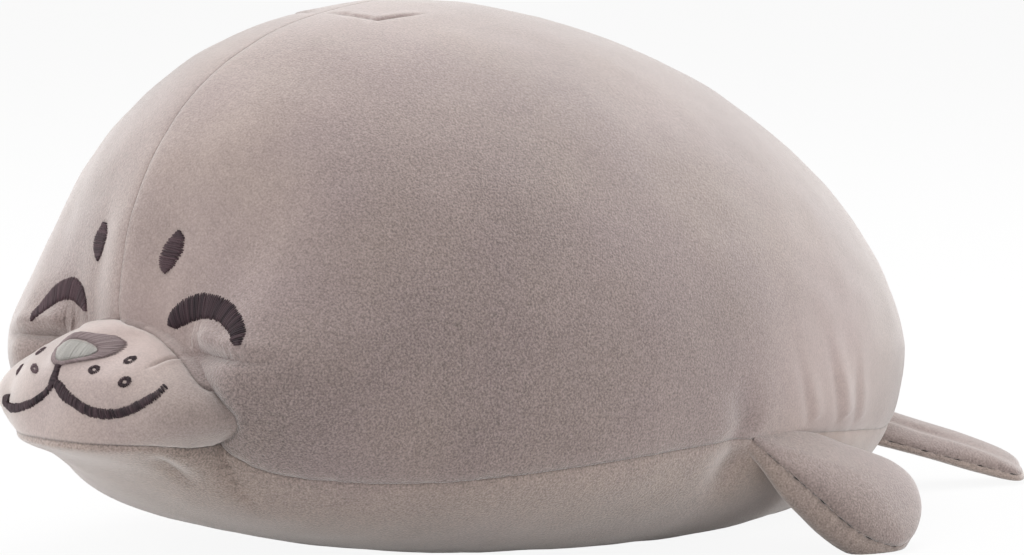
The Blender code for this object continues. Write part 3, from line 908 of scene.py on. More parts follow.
    def panel(self, columns: int, rows: int, place: Callable[[Array, Array], Array],
              detail: bool = True) -> tuple[bmesh.types.BMesh, Array]:
        """Make one cloth panel from a flat grid.

        Args:
            columns: Cells across the grid.
            rows: Cells along it.
            place: Gives the smooth form's places for the grid's two coordinates, each -1 to 1.
            detail: Whether cells near seams and folds are split.

        Returns:
            The open panel facing outwards, and each vertex's painted shade from seams and folds.
        """
        mesh = bmesh.new()
        bmesh.ops.create_grid(mesh, x_segments=columns, y_segments=rows, size=1.0)
        if detail:
            for level in (1, 2):
                centres = np.array([face.calc_center_median() for face in mesh.faces])
                wanted = self.detail_wanted(place(centres[:, 0], centres[:, 1])) >= level
                edges = {edge for face, split in zip(mesh.faces, wanted) if split
                         for edge in face.edges}
                bmesh.ops.subdivide_edges(mesh, edges=list(edges), cuts=1, use_grid_fill=True)
        flat = coordinates(mesh)
        smooth = place(flat[:, 0], flat[:, 1])
        move_to(mesh, smooth)
        bmesh.ops.remove_doubles(mesh, verts=mesh.verts[:], dist=2e-6)
        smooth = coordinates(mesh)
        normals = normals_of(mesh)
        centre = np.array((0.0, 0.0, self.form.girth_height))
        if ((smooth - centre)*normals).sum() < 0.0:
            bmesh.ops.reverse_faces(mesh, faces=mesh.faces[:])
        moved, crease_shade = self.shaped(smooth)
        move_to(mesh, moved)
        mesh.normal_update()
        return mesh, crease_shade


def finish_object(name: str, mesh: bmesh.types.BMesh, material: bpy.types.Material,
                  values: dict[str, Array] | None = None) -> bpy.types.Object:
    """Make a smooth-shaded object at the origin from a mesh.

    Args:
        name: The object's name.
        mesh: Its mesh, which is used up.
        material: Its finish.
        values: Values to keep on the vertices for the finish, by name.

    Returns:
        The object.
    """
    data = bpy.data.meshes.new(name)
    mesh.to_mesh(data)
    mesh.free()
    data.shade_smooth()
    for label, numbers in (values or {}).items():
        layer = data.attributes.new(label, "FLOAT", "POINT")
        layer.data.foreach_set("value", np.asarray(numbers, np.float32))
    data.materials.append(material)
    thing = bpy.data.objects.new(name, data)
    bpy.context.scene.collection.objects.link(thing)
    return thing


def give_thickness(thing: bpy.types.Object, thickness: float, hem: float = 0.0035) -> None:
    """Give a cloth piece its thickness, inwards, thin at its sewn rim so that two rims fit.

    Args:
        thing: The cloth.
        thickness: Its thickness.
        hem: How far from its rim the cloth is at its full thickness.
    """
    mesh = bmesh.new()
    mesh.from_mesh(thing.data)
    rim = [vertex for vertex in mesh.verts if vertex.is_boundary]
    tree = KDTree(len(rim))
    for index, vertex in enumerate(rim):
        tree.insert(vertex.co, index)
    tree.balance()
    group = thing.vertex_groups.new(name="wall")
    for vertex in mesh.verts:
        group.add([vertex.index], min(tree.find(vertex.co)[2]/hem, 1.0), "REPLACE")
    mesh.free()
    wall = thing.modifiers.new("cloth thickness", "SOLIDIFY")
    wall.thickness = thickness
    wall.offset = -1.0
    wall.use_even_offset = False
    wall.vertex_group = group.name
    wall.thickness_vertex_group = 0.06


@dataclass
class Body:
    """The body's four cloth panels and its filling."""

    dresser: Dresser
    plush: bpy.types.Material
    # belly_plush and muzzle_plush are paler copies of plush, painted lighter where light falls
    belly_plush: bpy.types.Material
    muzzle_plush: bpy.types.Material
    filling: bpy.types.Material
    form: BodyForm = BodyForm()
    cloth: float = 0.0018
    side_cells: tuple[int, int] = (88, 134)
    belly_cells: tuple[int, int] = (84, 140)
    muzzle_cells: int = 84
    # each seam's last number paints shade along it
    seams: tuple[Seam, ...] = (
        Seam("crown", 0.0003, 0.0012, 0.00006, 0.005, 0.35),
        Seam("side", 0.0009, 0.0020, 0.00022, 0.005, 0.6),
        Seam("muzzle", 0.0009, 0.0018, 0.00018, 0.004, 0.6),
        Seam("chin", 0.0006, 0.0014, 0.00020, 0.003, 0.9),
    )
    # each fold also paints shade into its groove, by its last number where one is given
    folds: tuple[Fold, ...] = (
        # cloth gathered under the eyes, and the deep fold below it
        Fold(((0.0300, -0.194, 0.0945), (0.0380, -0.194, 0.0965), (0.0470, -0.193, 0.0960),
              (0.0540, -0.192, 0.0940)), -0.0018, 0.0060, 0.0, 1.9, 0.0, (1.0, -1.0), (0.5, 0.5),
             0.0),
        Fold(((0.033, -0.194, 0.0905), (0.045, -0.192, 0.0886), (0.058, -0.192, 0.0874),
              (0.070, -0.190, 0.0872), (0.082, -0.184, 0.0880)), 0.0036, 0.0030, 0.0022, 1.7, 0.5,
             (1.0, -1.0), (0.22, 0.65), 0.4),
        # darts from the eyes' inner ends down to the muzzle's seam
        Fold(((0.0262, -0.194, 0.0985), (0.0256, -0.194, 0.0955), (0.0254, -0.196, 0.0918)),
             0.0004, 0.0011, 0.0, 2.0, 0.6, (1.0, -1.0), (0.3, 0.1)),
        # darts on the muzzle's sides
        Fold(((0.0345, -0.197, 0.0868), (0.0335, -0.203, 0.0860), (0.0330, -0.209, 0.0848),
              (0.0325, -0.213, 0.0838)), 0.0010, 0.0011, 0.0003, 2.0, 0.5, (1.0, -1.0), (0.02, 0.5)),
        # tucks on the crown
        Fold(((0.001, -0.095, 0.209), (0.010, -0.093, 0.209), (0.017, -0.091, 0.208),
              (0.0235, -0.088, 0.206)), 0.0017, 0.0012, 0.0003, 1.8, 0.8, (1.0, -1.0), (0.6, 0.05),
             0.9),
        Fold(((0.0240, -0.089, 0.206), (0.025, -0.082, 0.207), (0.026, -0.074, 0.208),
              (0.027, -0.062, 0.208)), 0.0017, 0.0012, 0.0003, 1.8, 0.8, (1.0, -1.0), (0.05, 0.6),
             0.9),
        # crease from the chin down the throat
        Fold(((0.038, -0.214, 0.049), (0.037, -0.206, 0.045), (0.036, -0.196, 0.040),
              (0.035, -0.188, 0.036)), 0.0016, 0.0045, 0.0010, 1.8, 0.2, (1.0, -1.0), (0.3, 0.6)),
        # valley in front of and above each front flipper's root
        Fold(((0.139, -0.014, 0.074), (0.139, -0.006, 0.062), (0.138, -0.001, 0.053),
              (0.136, 0.002, 0.047)), 0.0032, 0.0080, 0.0, 1.8, 0.0, (1.0, -1.0), (0.8, 0.3)),
        Fold(((0.137, 0.003, 0.046), (0.133, -0.006, 0.036), (0.125, -0.014, 0.024)),
             0.0040, 0.0100, 0.0, 1.8, 0.0, (1.0, -1.0), (0.3, 0.6)),
        # upright folds above the flippers' roots
        Fold(((0.134, 0.030, 0.082), (0.134, 0.034, 0.066), (0.132, 0.040, 0.049)),
             0.0006, 0.0034, 0.0010, 1.7, 0.2, (1.0, -1.0), (0.8, 0.05), 0.1),
        Fold(((0.128, 0.054, 0.090), (0.128, 0.058, 0.068), (0.124, 0.064, 0.047)),
             0.0008, 0.0040, 0.0012, 1.7, 0.2, (1.0, -1.0), (0.8, 0.05), 0.1),
        Fold(((0.122, 0.078, 0.080), (0.122, 0.078, 0.062), (0.118, 0.080, 0.044)),
             0.0005, 0.0036, 0.0008, 1.7, 0.2, (1.0, -1.0), (0.8, 0.1), 0.1),
    )
    strokes: tuple[Stroke, ...] = (
        # darker under the cheek
        Stroke((0.068, -0.187, 0.062), 0.026, -0.20),
        # brushed darker patches on the flank
        Stroke((0.116, -0.122, 0.101), 0.070, -0.08),
        Stroke((0.118, -0.124, 0.072), 0.040, -0.06),
        # painted shade under the muzzle's corner
        Stroke((0.048, -0.203, 0.065), 0.018, -0.20),
        # painted light between the eyes, on the brow and on the crown
        Stroke((0.016, -0.200, 0.098), 0.022, 0.26),
        Stroke((0.026, -0.178, 0.145), 0.050, 0.22),
        Stroke((0.010, -0.100, 0.205), 0.070, 0.12),
        # painted light on the rear flank
        Stroke((0.129, 0.066, 0.064), 0.050, 0.42),
        # painted shade under the chin
        Stroke((0.033, -0.195, 0.041), 0.030, -0.08),
        # brushed darker patches on the flank
        Stroke((0.105, -0.101, 0.147), 0.020, -0.06),
        Stroke((0.105, -0.080, 0.100), 0.090, -0.05),
        # painted shade by the front flipper's root
        Stroke((0.120, -0.030, 0.020), 0.035, -0.16),
        # painted light over the upper back
        Stroke((0.060, 0.060, 0.190), 0.110, 0.06),
        # a brushed darker patch on the upper flank
        Stroke((0.074, -0.137, 0.162), 0.022, -0.05),
    )
    skin: SewnSkin = field(init=False)
    trees: list[BVHTree] = field(init=False, default_factory=list)

    def side_place(self, side: float) -> Callable[[Array, Array], Array]:
        """Give the placing of a side panel: u from the crown seam to the side seam, v to the tail."""
        def place(u: Array, v: Array) -> Array:
            """Place the grid's points on the side."""
            return self.form.body_place((u + 1.0)/2, (v + 1.0)/2, np.full_like(u, side))
        return place

    def belly_place(self, u: Array, v: Array) -> Array:
        """Place the grid's points on the belly, from the left side seam to the right one."""
        turn = 2.0 - np.abs(u)
        return self.form.body_place(turn, (v + 1.0)/2, np.where(u < 0.0, 1.0, -1.0))

    def muzzle_place(self, u: Array, v: Array) -> Array:
        """Place the grid's points on the muzzle, the square's rim along its seam."""
        share = np.maximum(np.abs(u), np.abs(v))
        angle = np.arctan2(np.abs(u), v)/math.pi
        turn = np.where(angle <= 0.75, angle/0.75, 1.0 + (angle - 0.75)/0.25)
        return self.form.muzzle_place(turn, np.sin(share*math.pi/2)**1.15,
                                      np.where(u < 0.0, -1.0, 1.0))

    def build(self) -> list[bpy.types.Object]:
        """Build the panels and the filling.

        Returns:
            The new pieces.
        """
        self.skin = SewnSkin(self.form, self.seams, self.folds)
        pieces = []
        plans = (("left_side", "left_side_panel", self.side_cells, self.side_place(1.0),
                  self.plush, "plush"),
                 ("right_side", "right_side_panel", self.side_cells, self.side_place(-1.0),
                  self.plush, "plush"),
                 ("belly", "belly_panel", self.belly_cells, self.belly_place,
                  self.belly_plush, "belly_plush"),
                 ("muzzle", "muzzle_panel", (self.muzzle_cells, self.muzzle_cells),
                  self.muzzle_place, self.muzzle_plush, "belly_plush"))
        for name, node, (columns, rows), place, finish, slot in plans:
            mesh, crease_shade = self.skin.panel(columns, rows, place)
            self.trees.append(BVHTree.FromBMesh(mesh))
            # nap: brushed pile tone with painted light and shade from the strokes
            nap = brushing_with_painted_light_and_shade(coordinates(mesh), self.strokes)
            # crease_shade holds painted shade along seams and in folds
            thing = finish_object(name + "_cloth", mesh, finish, {"crease_shade": crease_shade, "nap": nap})
            give_thickness(thing, self.cloth)
            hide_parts(node)
            pieces.append(thing)
            LOG.info("%s: %d vertices", thing.name, len(thing.data.vertices))
        pieces.append(self.build_filling())
        return pieces

    def build_filling(self) -> bpy.types.Object:
        """Build the filling, which follows the cloth a little way inside it."""
        mesh = self.skin.core.copy()
        normals = normals_of(mesh)
        moved, _ = self.skin.shaped(coordinates(mesh))
        moved = moved - normals*(self.cloth*1.9)
        moved[:, 2] = np.maximum(moved[:, 2], 0.0025)
        move_to(mesh, moved)
        thing = finish_object("body_stuffing", mesh, self.filling)
        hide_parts("body_filling")
        return thing

    def beside(self, place: Vector) -> tuple[Vector, Vector, float]:
        """Give the nearest place of the cloth, its outward direction and how far out a place is."""
        best = None
        for tree in self.trees:
            near, normal, _, far = tree.find_nearest(place)
            if best is None or far < best[2]:
                best = (near, normal, far)
        near, normal, _ = best
        return near, normal, (place - near).dot(normal)

    def ahead(self, x: float, z: float) -> tuple[Vector, Vector]:
        """Give the cloth's place and outward direction at x, z as seen from ahead."""
        best = None
        for tree in self.trees:
            place, normal, _, far = tree.ray_cast(Vector((x, -1.0, z)), Vector((0.0, 1.0, 0.0)))
            if place is not None and (best is None or far < best[2]):
                best = (place, normal, far)
        place, normal, _ = best
        return place, normal if normal.y < 0.0 else -normal


# ---------------------------------------------------------------- embroidery


@dataclass(frozen=True)
class SatinPatch:
    """A patch of satin stitches between two edges, in the front view: x across, z up."""

    name: str
    nodes: tuple[str, ...]
    first_edge: tuple[Point, ...]
    second_edge: tuple[Point, ...]
    stitches: int
    closed: bool = False
    raise_height: float = 0.0007
    ragged: float = 0.0004
    slot: str = "dark_thread"
    # range of strand tones: random thread tone, set higher where light is painted
    strand_tones_with_painted_light: tuple[float, float] = (0.0, 0.6)


@dataclass
class Embroidery:
    """All the stitched features of the face."""

    body: Body
    finishes: dict[str, bpy.types.Material]
    patches: tuple[SatinPatch, ...] = ()
    rings: int = 7
    sides: int = 6

    def strand(self) -> bmesh.types.BMesh:
        """Make one straight strand: a closed six-sided bar along Z with rounded ends."""
        mesh = bmesh.new()
        bmesh.ops.create_cone(mesh, cap_ends=True, segments=self.sides, radius1=1.0, radius2=1.0,
                              depth=2.0)
        along = [edge for edge in mesh.edges
                 if abs(edge.verts[0].co.z - edge.verts[1].co.z) > 1.0]
        bmesh.ops.subdivide_edges(mesh, edges=along, cuts=self.rings - 2)
        return mesh

    def patch_mesh(self, patch: SatinPatch, seed: int) -> tuple[bmesh.types.BMesh, list[float]]:
        """Lay a patch's strands side by side on the cloth.

        Args:
            patch: The patch's edges and counts.
            seed: Seeds the small unevenness.

        Returns:
            The strands as one mesh, and each vertex's tone.
        """
        chance = random.Random(seed)
        first = smooth_line(patch.first_edge, patch.stitches, patch.closed)
        second = smooth_line(patch.second_edge, patch.stitches, patch.closed)
        middle = (first + second)/2
        run = np.gradient(middle, axis=0)
        pitch = float(np.linalg.norm(run, axis=1).mean())
        if patch.closed:
            run = (np.roll(middle, -1, axis=0) - np.roll(middle, 1, axis=0))/2
            pitch = float(np.linalg.norm(run, axis=1).mean())
        template = self.strand()
        data = bpy.data.meshes.new("strand")
        template.to_mesh(data)
        local = coordinates(template)
        template.free()
        mesh = bmesh.new()
        layer = mesh.loops.layers.uv.new("Thread")
        tones: list[float] = []
        for k in range(patch.stitches):
            start = first[k] + (first[k] - second[k])/(np.linalg.norm(first[k] - second[k]) + 1e-9) \
                * chance.uniform(-0.3, 1.0)*patch.ragged
            end = second[k] + (second[k] - first[k])/(np.linalg.norm(first[k] - second[k]) + 1e-9) \
                * chance.uniform(-0.3, 1.0)*patch.ragged
            lean = run[k]*chance.uniform(-0.22, 0.22)
            start, end = start + lean, end - lean
            radius = pitch*chance.uniform(0.62, 0.80)
            lifted = patch.raise_height*chance.uniform(0.85, 1.15)
            # a random tone within the patch's range, which is set higher where light is painted
            tone = chance.uniform(*patch.strand_tones_with_painted_light)
            old = set(mesh.verts)
            mesh.from_mesh(data)
            fresh = [vertex for vertex in mesh.verts if vertex not in old]
            frames = {}
            for level in sorted({round(float(z), 4) for z in local[:, 2]}):
                share = (level + 1.0)/2
                spot = start + (end - start)*share
                place, normal = self.body.ahead(float(spot[0]), float(spot[1]))
                bulge = max(1.0 - (2*share - 1.0)**4, 0.0)
                frames[level] = (place, normal, bulge)
            levels = sorted(frames)
            axis = (frames[levels[-1]][0] - frames[levels[0]][0]).normalized()
            for vertex, spot in zip(fresh, local):
                place, normal, bulge = frames[round(float(spot[2]), 4)]
                side = normal.cross(axis).normalized()
                taper = 0.45 + 0.55*bulge
                vertex.co = (place + side*float(spot[0])*radius*taper
                             + normal*(float(spot[1])*radius*0.55*taper
                                       - radius*0.2 + lifted*bulge))
                tones.append(tone)
            for face in {face for vertex in fresh for face in vertex.link_faces}:
                for loop in face.loops:
                    spot = local[fresh.index(loop.vert)]
                    loop[layer].uv = (math.atan2(spot[1], spot[0])/(2*math.pi) + 0.5,
                                      (spot[2] + 1.0)/2*len(levels)*0.4)
        bpy.data.meshes.remove(data)
        bmesh.ops.recalc_face_normals(mesh, faces=mesh.faces[:])
        return mesh, tones

    def build(self) -> list[bpy.types.Object]:
        """Build every patch.

        Returns:
            The new pieces.
        """
        pieces = []
        for number, patch in enumerate(self.patches):
            mesh, tones = self.patch_mesh(patch, 41 + number)
            thing = finish_object(patch.name, mesh, self.finishes[patch.slot], {"strand": tones})
            if patch.nodes:
                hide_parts(*patch.nodes)
            pieces.append(thing)
            LOG.info("%s: %d stitches", patch.name, patch.stitches)
        return pieces


def mm(*points: Point) -> tuple[Point, ...]:
    """Give points in metres from millimetres."""
    return tuple((x/1000.0, z/1000.0) for x, z in points)


def mirrored(points: Sequence[Point]) -> tuple[Point, ...]:
    """Mirror points of the front view to the other side of the face."""
    return tuple((-x, z) for x, z in points)


@dataclass(frozen=True)
class WhiskerDot:
    """A small stitched ring round a bare spot of cloth, from its middle and its two half axes."""

    centre: Point
    first: Point
    second: Point

    def loop(self, size: float, count: int = 12) -> tuple[Point, ...]:
        """Give the points of a loop round the dot at a share of its size."""
        points = []
        for step in range(count):
            turn = 2*math.pi*step/count
            x, z = (self.centre[k] + size*(self.first[k]*math.cos(turn)
                                           + self.second[k]*math.sin(turn)) for k in (0, 1))
            points.append((x, z))
        return mm(*points)


LEFT_DOTS = (WhiskerDot((15.3, 82.6), (1.33, 0.77), (2.00, -1.25)),
             WhiskerDot((24.2, 86.1), (1.36, 0.84), (1.77, -0.96)),
             WhiskerDot((29.6, 79.1), (1.43, 1.15), (1.64, -1.56)))
RIGHT_DOTS = (WhiskerDot((-16.1, 80.5), (1.87, 0.61), (4.04, -1.20)),
              WhiskerDot((-26.2, 85.3), (-1.36, 0.84), (-1.77, -0.96)),
              WhiskerDot((-31.6, 78.3), (-1.43, 1.15), (-1.64, -1.56)))


def face_patches() -> tuple[SatinPatch, ...]:
    """Lay out the face's stitched features, in the front view.

    Returns:
        The patches, left and right.
    """
    patches = [
        SatinPatch("left_eye", ("left_eye_stitch",),
                   mm((22.2, 98.2), (22.2, 99.6), (22.8, 101.9), (25.2, 104.9), (28.8, 107.4),
                      (34.2, 109.5), (40.0, 110.1), (46.1, 108.9), (52.3, 106.6), (57.8, 103.0),
                      (61.5, 99.3), (63.6, 95.9), (63.8, 93.6)),
                   mm((23.1, 96.9), (25.7, 96.1), (29.7, 97.8), (34.0, 99.4), (38.6, 100.7),
                      (42.9, 101.0), (47.9, 100.1), (51.9, 98.6), (55.2, 97.1), (58.1, 95.2),
                      (60.7, 93.4)), 60),
        # the far side's eye and both brows take paler strand tones: painted light
        SatinPatch("right_eye", ("right_eye_stitch",),
                   mm((-55.1, 93.3), (-56.1, 96.8), (-54.0, 101.1), (-50.7, 105.5),
                      (-45.5, 108.7), (-39.2, 110.4), (-33.5, 109.7), (-28.9, 107.1),
                      (-26.4, 102.8), (-25.8, 99.1)),
                   mm((-54.2, 93.1), (-52.0, 94.9), (-48.7, 97.4), (-45.1, 100.2),
                      (-40.9, 101.6), (-36.6, 101.8), (-32.1, 100.0), (-27.7, 98.7)), 56, ragged=0.0003,
                   strand_tones_with_painted_light=(0.4, 1.0)),
        SatinPatch("left_brow", ("left_brow_stitch",),
                   mm((18.6, 116.3), (16.5, 118.0), (15.9, 121.0), (16.5, 125.1), (18.7, 129.3),
                      (21.0, 131.8)),
                   mm((19.0, 116.3), (21.4, 118.0), (23.3, 120.2), (25.1, 123.7), (25.3, 128.2),
                      (23.0, 131.5)),
                   24, ragged=0.0005, strand_tones_with_painted_light=(0.3, 0.9)),
        SatinPatch("right_brow", ("right_brow_stitch",),
                   mm((-20.9, 118.2), (-23.9, 119.9), (-26.7, 124.2), (-25.2, 128.7),
                      (-21.7, 132.2)),
                   mm((-20.3, 118.2), (-18.4, 120.2), (-16.8, 123.6), (-15.7, 128.1),
                      (-17.9, 132.0)),
                   24, ragged=0.0003, strand_tones_with_painted_light=(0.3, 0.9)),
        SatinPatch("left_mouth", ("left_mouth_stitch",),
                   mm((1.5, 79.0), (5.8, 77.1), (10.6, 74.3), (16.2, 71.6), (22.0, 69.8),
                      (27.6, 69.3), (32.6, 70.3), (37.3, 73.0), (41.3, 75.9), (42.6, 78.6)),
                   mm((0.3, 75.9), (5.8, 72.1), (11.9, 69.7), (18.3, 67.1), (23.7, 66.0),
                      (29.0, 66.0), (34.2, 67.2), (39.5, 70.0), (43.8, 73.5), (45.2, 77.0)),
                   72, ragged=0.0004),
        SatinPatch("right_mouth", ("right_mouth_stitch",),
                   mm((-0.5, 77.5), (-6.0, 72.9), (-10.3, 70.4), (-18.4, 67.9), (-31.0, 66.3),
                      (-39.7, 67.6), (-32.6, 69.3)),
                   mm((0.0, 75.0), (-3.6, 71.0), (-8.0, 68.1), (-15.2, 65.6), (-27.5, 63.3),
                      (-39.1, 64.1), (-34.2, 66.2)), 54, ragged=0.0004)]
    # the far side's dots take paler strand tones: painted light
    for side, dots in (("left", LEFT_DOTS), ("right", RIGHT_DOTS)):
        for number, dot in enumerate(dots, start=1):
            patches.append(SatinPatch("%s_dot_%d" % (side, number),
                                      ("%s_whisker_dot_%d_stitch" % (side, number),),
                                      dot.loop(1.0), dot.loop(0.34), 22, True, 0.0004, 0.0002,
                                      strand_tones_with_painted_light=(0.0, 0.6) if side == "left" else (0.7, 1.0)))
    near_outer = mm((0.0, 83.0), (5.5, 84.3), (10.7, 85.5), (13.9, 86.3), (17.0, 87.7),
                    (17.9, 89.5), (17.2, 91.0), (15.3, 92.1), (11.3, 93.7), (5.1, 94.4),
                    (0.0, 94.6))
    far_outer = mm((-5.0, 93.9), (-9.5, 92.6), (-13.0, 90.8), (-14.6, 88.8), (-13.2, 86.8),
                   (-9.5, 85.3), (-4.8, 84.0))
    lower = mm((-9.5, 87.6), (-6.5, 86.4), (-3.0, 85.2), (0.4, 84.7), (4.0, 85.3), (7.2, 86.0),
               (9.4, 86.8), (10.6, 88.2))
    upper = mm((-9.5, 88.6), (-8.0, 90.4), (-4.5, 91.8), (0.0, 92.4), (4.5, 92.0), (8.0, 90.8),
               (10.0, 89.6), (10.6, 88.8))
    inner = lower[3:] + upper[::-1] + lower[:3]
    patches.append(SatinPatch("nose_outline", ("nose_outline_stitch",), near_outer + far_outer,
                              inner, 110, True, 0.0006, 0.0002, "grey_thread", (0.0, 1.0)))
    patches.append(SatinPatch("nose_fill", ("nose_fill_stitch",), upper, lower, 54, False, 0.0004,
                              0.0001, "nose_thread", (0.0, 1.0)))
    patches.append(SatinPatch("philtrum", ("philtrum_stitch",),
                              mm((-1.5, 83.3), (-1.7, 81.0), (-2.2, 79.0), (-3.0, 76.6)),
                              mm((1.8, 83.3), (1.9, 81.0), (2.3, 79.0), (3.0, 76.6)), 16,
                              ragged=0.0003))
    return tuple(patches)


# ---------------------------------------------------------------- flippers


@dataclass
class Flipper:
    """A puffed flipper: an upper and an under cloth sewn together round their edge."""

    name: str
    node: str
    place: Matrix
    outline: tuple[Point, ...]
    thickness: float
    upper_share: float
    plush: bpy.types.Material
    under_plush: bpy.types.Material
    filling: bpy.types.Material
    body: Body
    side: float = 1.0
    cells: int = 90
    cloth: float = 0.0015
    upper_curl: float = 1.62
    under_curl: float = 1.88
    gathers: int = 44
    pinch: float = 0.0
    under_lean: Point = (0.0, 0.0)
    # how much shade is painted along the flipper's sewn rim
    painted_seam_shade: float = 0.55
    dents: tuple[tuple[float, float, float, float, float], ...] = ()

    def fullness(self, flat: Array, upper: float) -> Array | float:
        """Give how full the leaf is at each place: less near its root when it is pinched there."""
        if self.pinch <= 0.0:
            return 1.0
        low = 0.30 if upper > 0 else 0.60
        return low + (1.0 - low)*ease(-0.004, self.pinch, -flat[:, 1])

    def leaf_place(self, u: Array, v: Array, upper: float) -> Array:
        """Place the grid's points on one side of the leaf, the square's rim along its seam.

        Args:
            u: The grid's first coordinate, -1 to 1.
            v: The grid's second coordinate, -1 to 1.
            upper: 1 for the upper side and -1 for the under side.

        Returns:
            The places in the flipper's own frame.
        """
        rim = smooth_line(self.outline, 720, True)
        centre = rim.mean(0)
        share = np.maximum(np.abs(u), np.abs(v))
        turn = np.mod(np.arctan2(v, u)/(2*math.pi), 1.0)*720
        low = np.floor(turn).astype(int) % 720
        part = (turn - np.floor(turn))[:, None]
        edge = rim[low]*(1.0 - part) + rim[(low + 1) % 720]*part
        most = self.upper_curl if upper > 0 else self.under_curl
        bend = share*most
        spread = np.sin(bend)/math.sin(most)
        height = (np.cos(bend) - math.cos(most))/(1.0 - math.cos(most))
        flat = centre + (edge - centre)*spread[:, None]
        share_here = self.upper_share if upper > 0 else 1.0 - self.upper_share
        long = np.linalg.norm(edge - centre, axis=1)
        lift = upper*self.thickness*share_here*height**0.85
        slim = 0.45 - 0.45*np.minimum(long/long.mean(), 1.0)
        lift = lift*(1.0 - slim*share)
        lift = lift*self.fullness(flat, upper)
        gap = (1.0 - share)*long
        gather = np.sin(turn/720*2*math.pi*self.gathers) + np.sin(turn*0.147 + 2.0)
        gather = gather*0.00013*np.exp(-(gap/0.0035)**1.5)
        if upper < 0:
            lean = (height**0.6)*ease(0.002, 0.024, -flat[:, 1])
            flat = flat + np.array(self.under_lean)*lean[:, None]
        lift = lift + upper*gather
        if upper > 0:
            for a, b, depth, width, length in self.dents:
                reach = ((flat[:, 1] - b)/width)**2 + ((flat[:, 0] - a)/length)**2
                lift = lift - depth*np.exp(-reach)
        return np.stack((flat[:, 0], flat[:, 1], lift), axis=1)

    def build(self) -> list[bpy.types.Object]:
        """Build the two cloths and the filling.

        Returns:
            The new pieces.
        """
        pieces = []
        flip = Matrix.Scale(self.side, 4, (1.0, 0.0, 0.0)) if self.side < 0 else Matrix.Identity(4)
        placing = np.array(flip @ self.place)
        for part, upper, finish, slot in (("upper", 1.0, self.plush, "plush"),
                                          ("under", -1.0, self.under_plush, "belly_plush")):
            mesh = bmesh.new()
            bmesh.ops.create_grid(mesh, x_segments=self.cells, y_segments=self.cells, size=1.0)
            flat = coordinates(mesh)
            local = self.leaf_place(flat[:, 0], flat[:, 1], upper)
            share = np.maximum(np.abs(flat[:, 0]), np.abs(flat[:, 1]))
            turn = np.arctan2(flat[:, 1], flat[:, 0])
            uneven = (0.6 + 0.16*np.sin(turn*self.gathers) + 0.20*np.sin(turn*self.gathers*0.37 + 1.0)
                      + 0.16*np.sin(turn*self.gathers*1.7 + 2.0))
            # painted shade along the flipper's sewn rim, uneven along it, kept in the crease_shade
            # attribute
            crease_shade = ease(0.955, 1.0, share)*uneven*self.painted_seam_shade
            layer = mesh.verts.layers.float.new("crease_shade")
            for vertex, value in zip(mesh.verts, crease_shade):
                vertex[layer] = value
            move_to(mesh, local @ placing[:3, :3].T + placing[:3, 3])
            mesh.normal_update()
            if (normals_of(mesh) @ (placing[:3, 2]*upper)).sum() < 0.0:
                bmesh.ops.reverse_faces(mesh, faces=mesh.faces[:])
            self.trim(mesh, -0.0003)
            thing = finish_object(self.name + "_" + part + "_cloth", mesh, finish)
            give_thickness(thing, self.cloth)
            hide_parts(self.node + "_" + part)
            pieces.append(thing)
        pieces.append(self.build_filling(placing))
        LOG.info("%s: %d pieces", self.name, len(pieces))
        return pieces

    def build_filling(self, placing: Array) -> bpy.types.Object:
        """Build the flipper's thin filling, closed where it stops at the body."""
        mesh = bmesh.new()
        bmesh.ops.create_uvsphere(mesh, u_segments=48, v_segments=24, radius=1.0)
        ball = coordinates(mesh)
        rim = smooth_line(self.outline, 720, True)
        centre = rim.mean(0)
        turn = np.mod(np.arctan2(ball[:, 1], ball[:, 0])/(2*math.pi), 1.0)*720
        edge = rim[np.floor(turn).astype(int) % 720]
        spread = np.hypot(ball[:, 0], ball[:, 1])
        flat = centre + (edge - centre)*(spread*0.84)[:, None]
        share = np.where(ball[:, 2] > 0, self.upper_share, 1.0 - self.upper_share)
        lift = ball[:, 2]*np.maximum(self.thickness*share*0.72 - self.cloth*1.3, 0.0008)
        lift = lift*self.fullness(flat, 1.0)
        local = np.stack((flat[:, 0], flat[:, 1], lift), axis=1)
        move_to(mesh, local @ placing[:3, :3].T + placing[:3, 3])
        self.trim(mesh, 0.0022)
        rim_edges = [edge for edge in mesh.edges if edge.is_boundary]
        if rim_edges:
            bmesh.ops.holes_fill(mesh, edges=rim_edges, sides=0)
        bmesh.ops.recalc_face_normals(mesh, faces=mesh.faces[:])
        thing = finish_object(self.name + "_stuffing", mesh, self.filling)
        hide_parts(self.node + "_filling")
        return thing

    def trim(self, mesh: bmesh.types.BMesh, margin: float) -> None:
        """Cut off what lies in the body and lay the cut's rim against its cloth.

        Args:
            mesh: The mesh to trim.
            margin: How far off the cloth the rim is laid.
        """
        found = {vertex: self.body.beside(vertex.co) for vertex in mesh.verts}
        gone = [face for face in mesh.faces
                if all(found[vertex][2] < margin for vertex in face.verts)]
        bmesh.ops.delete(mesh, geom=gone, context="FACES")
        for vertex in mesh.verts:
            near, normal, away = found[vertex]
            if away < margin:
                vertex.co = near + normal*margin
            vertex.co.z = max(vertex.co.z, 0.0004)
        mesh.normal_update()


def frame_of(origin: Vector, forward: Vector, upward: Vector) -> Matrix:
    """Make a placement whose X runs forward and whose Z is as near upward as it can be."""
    forward = forward.normalized()
    across = upward.cross(forward).normalized()
    upright = forward.cross(across)
    return Matrix.Translation(origin) @ Matrix((forward, across, upright)).transposed().to_4x4()


# ---------------------------------------------------------------- studio


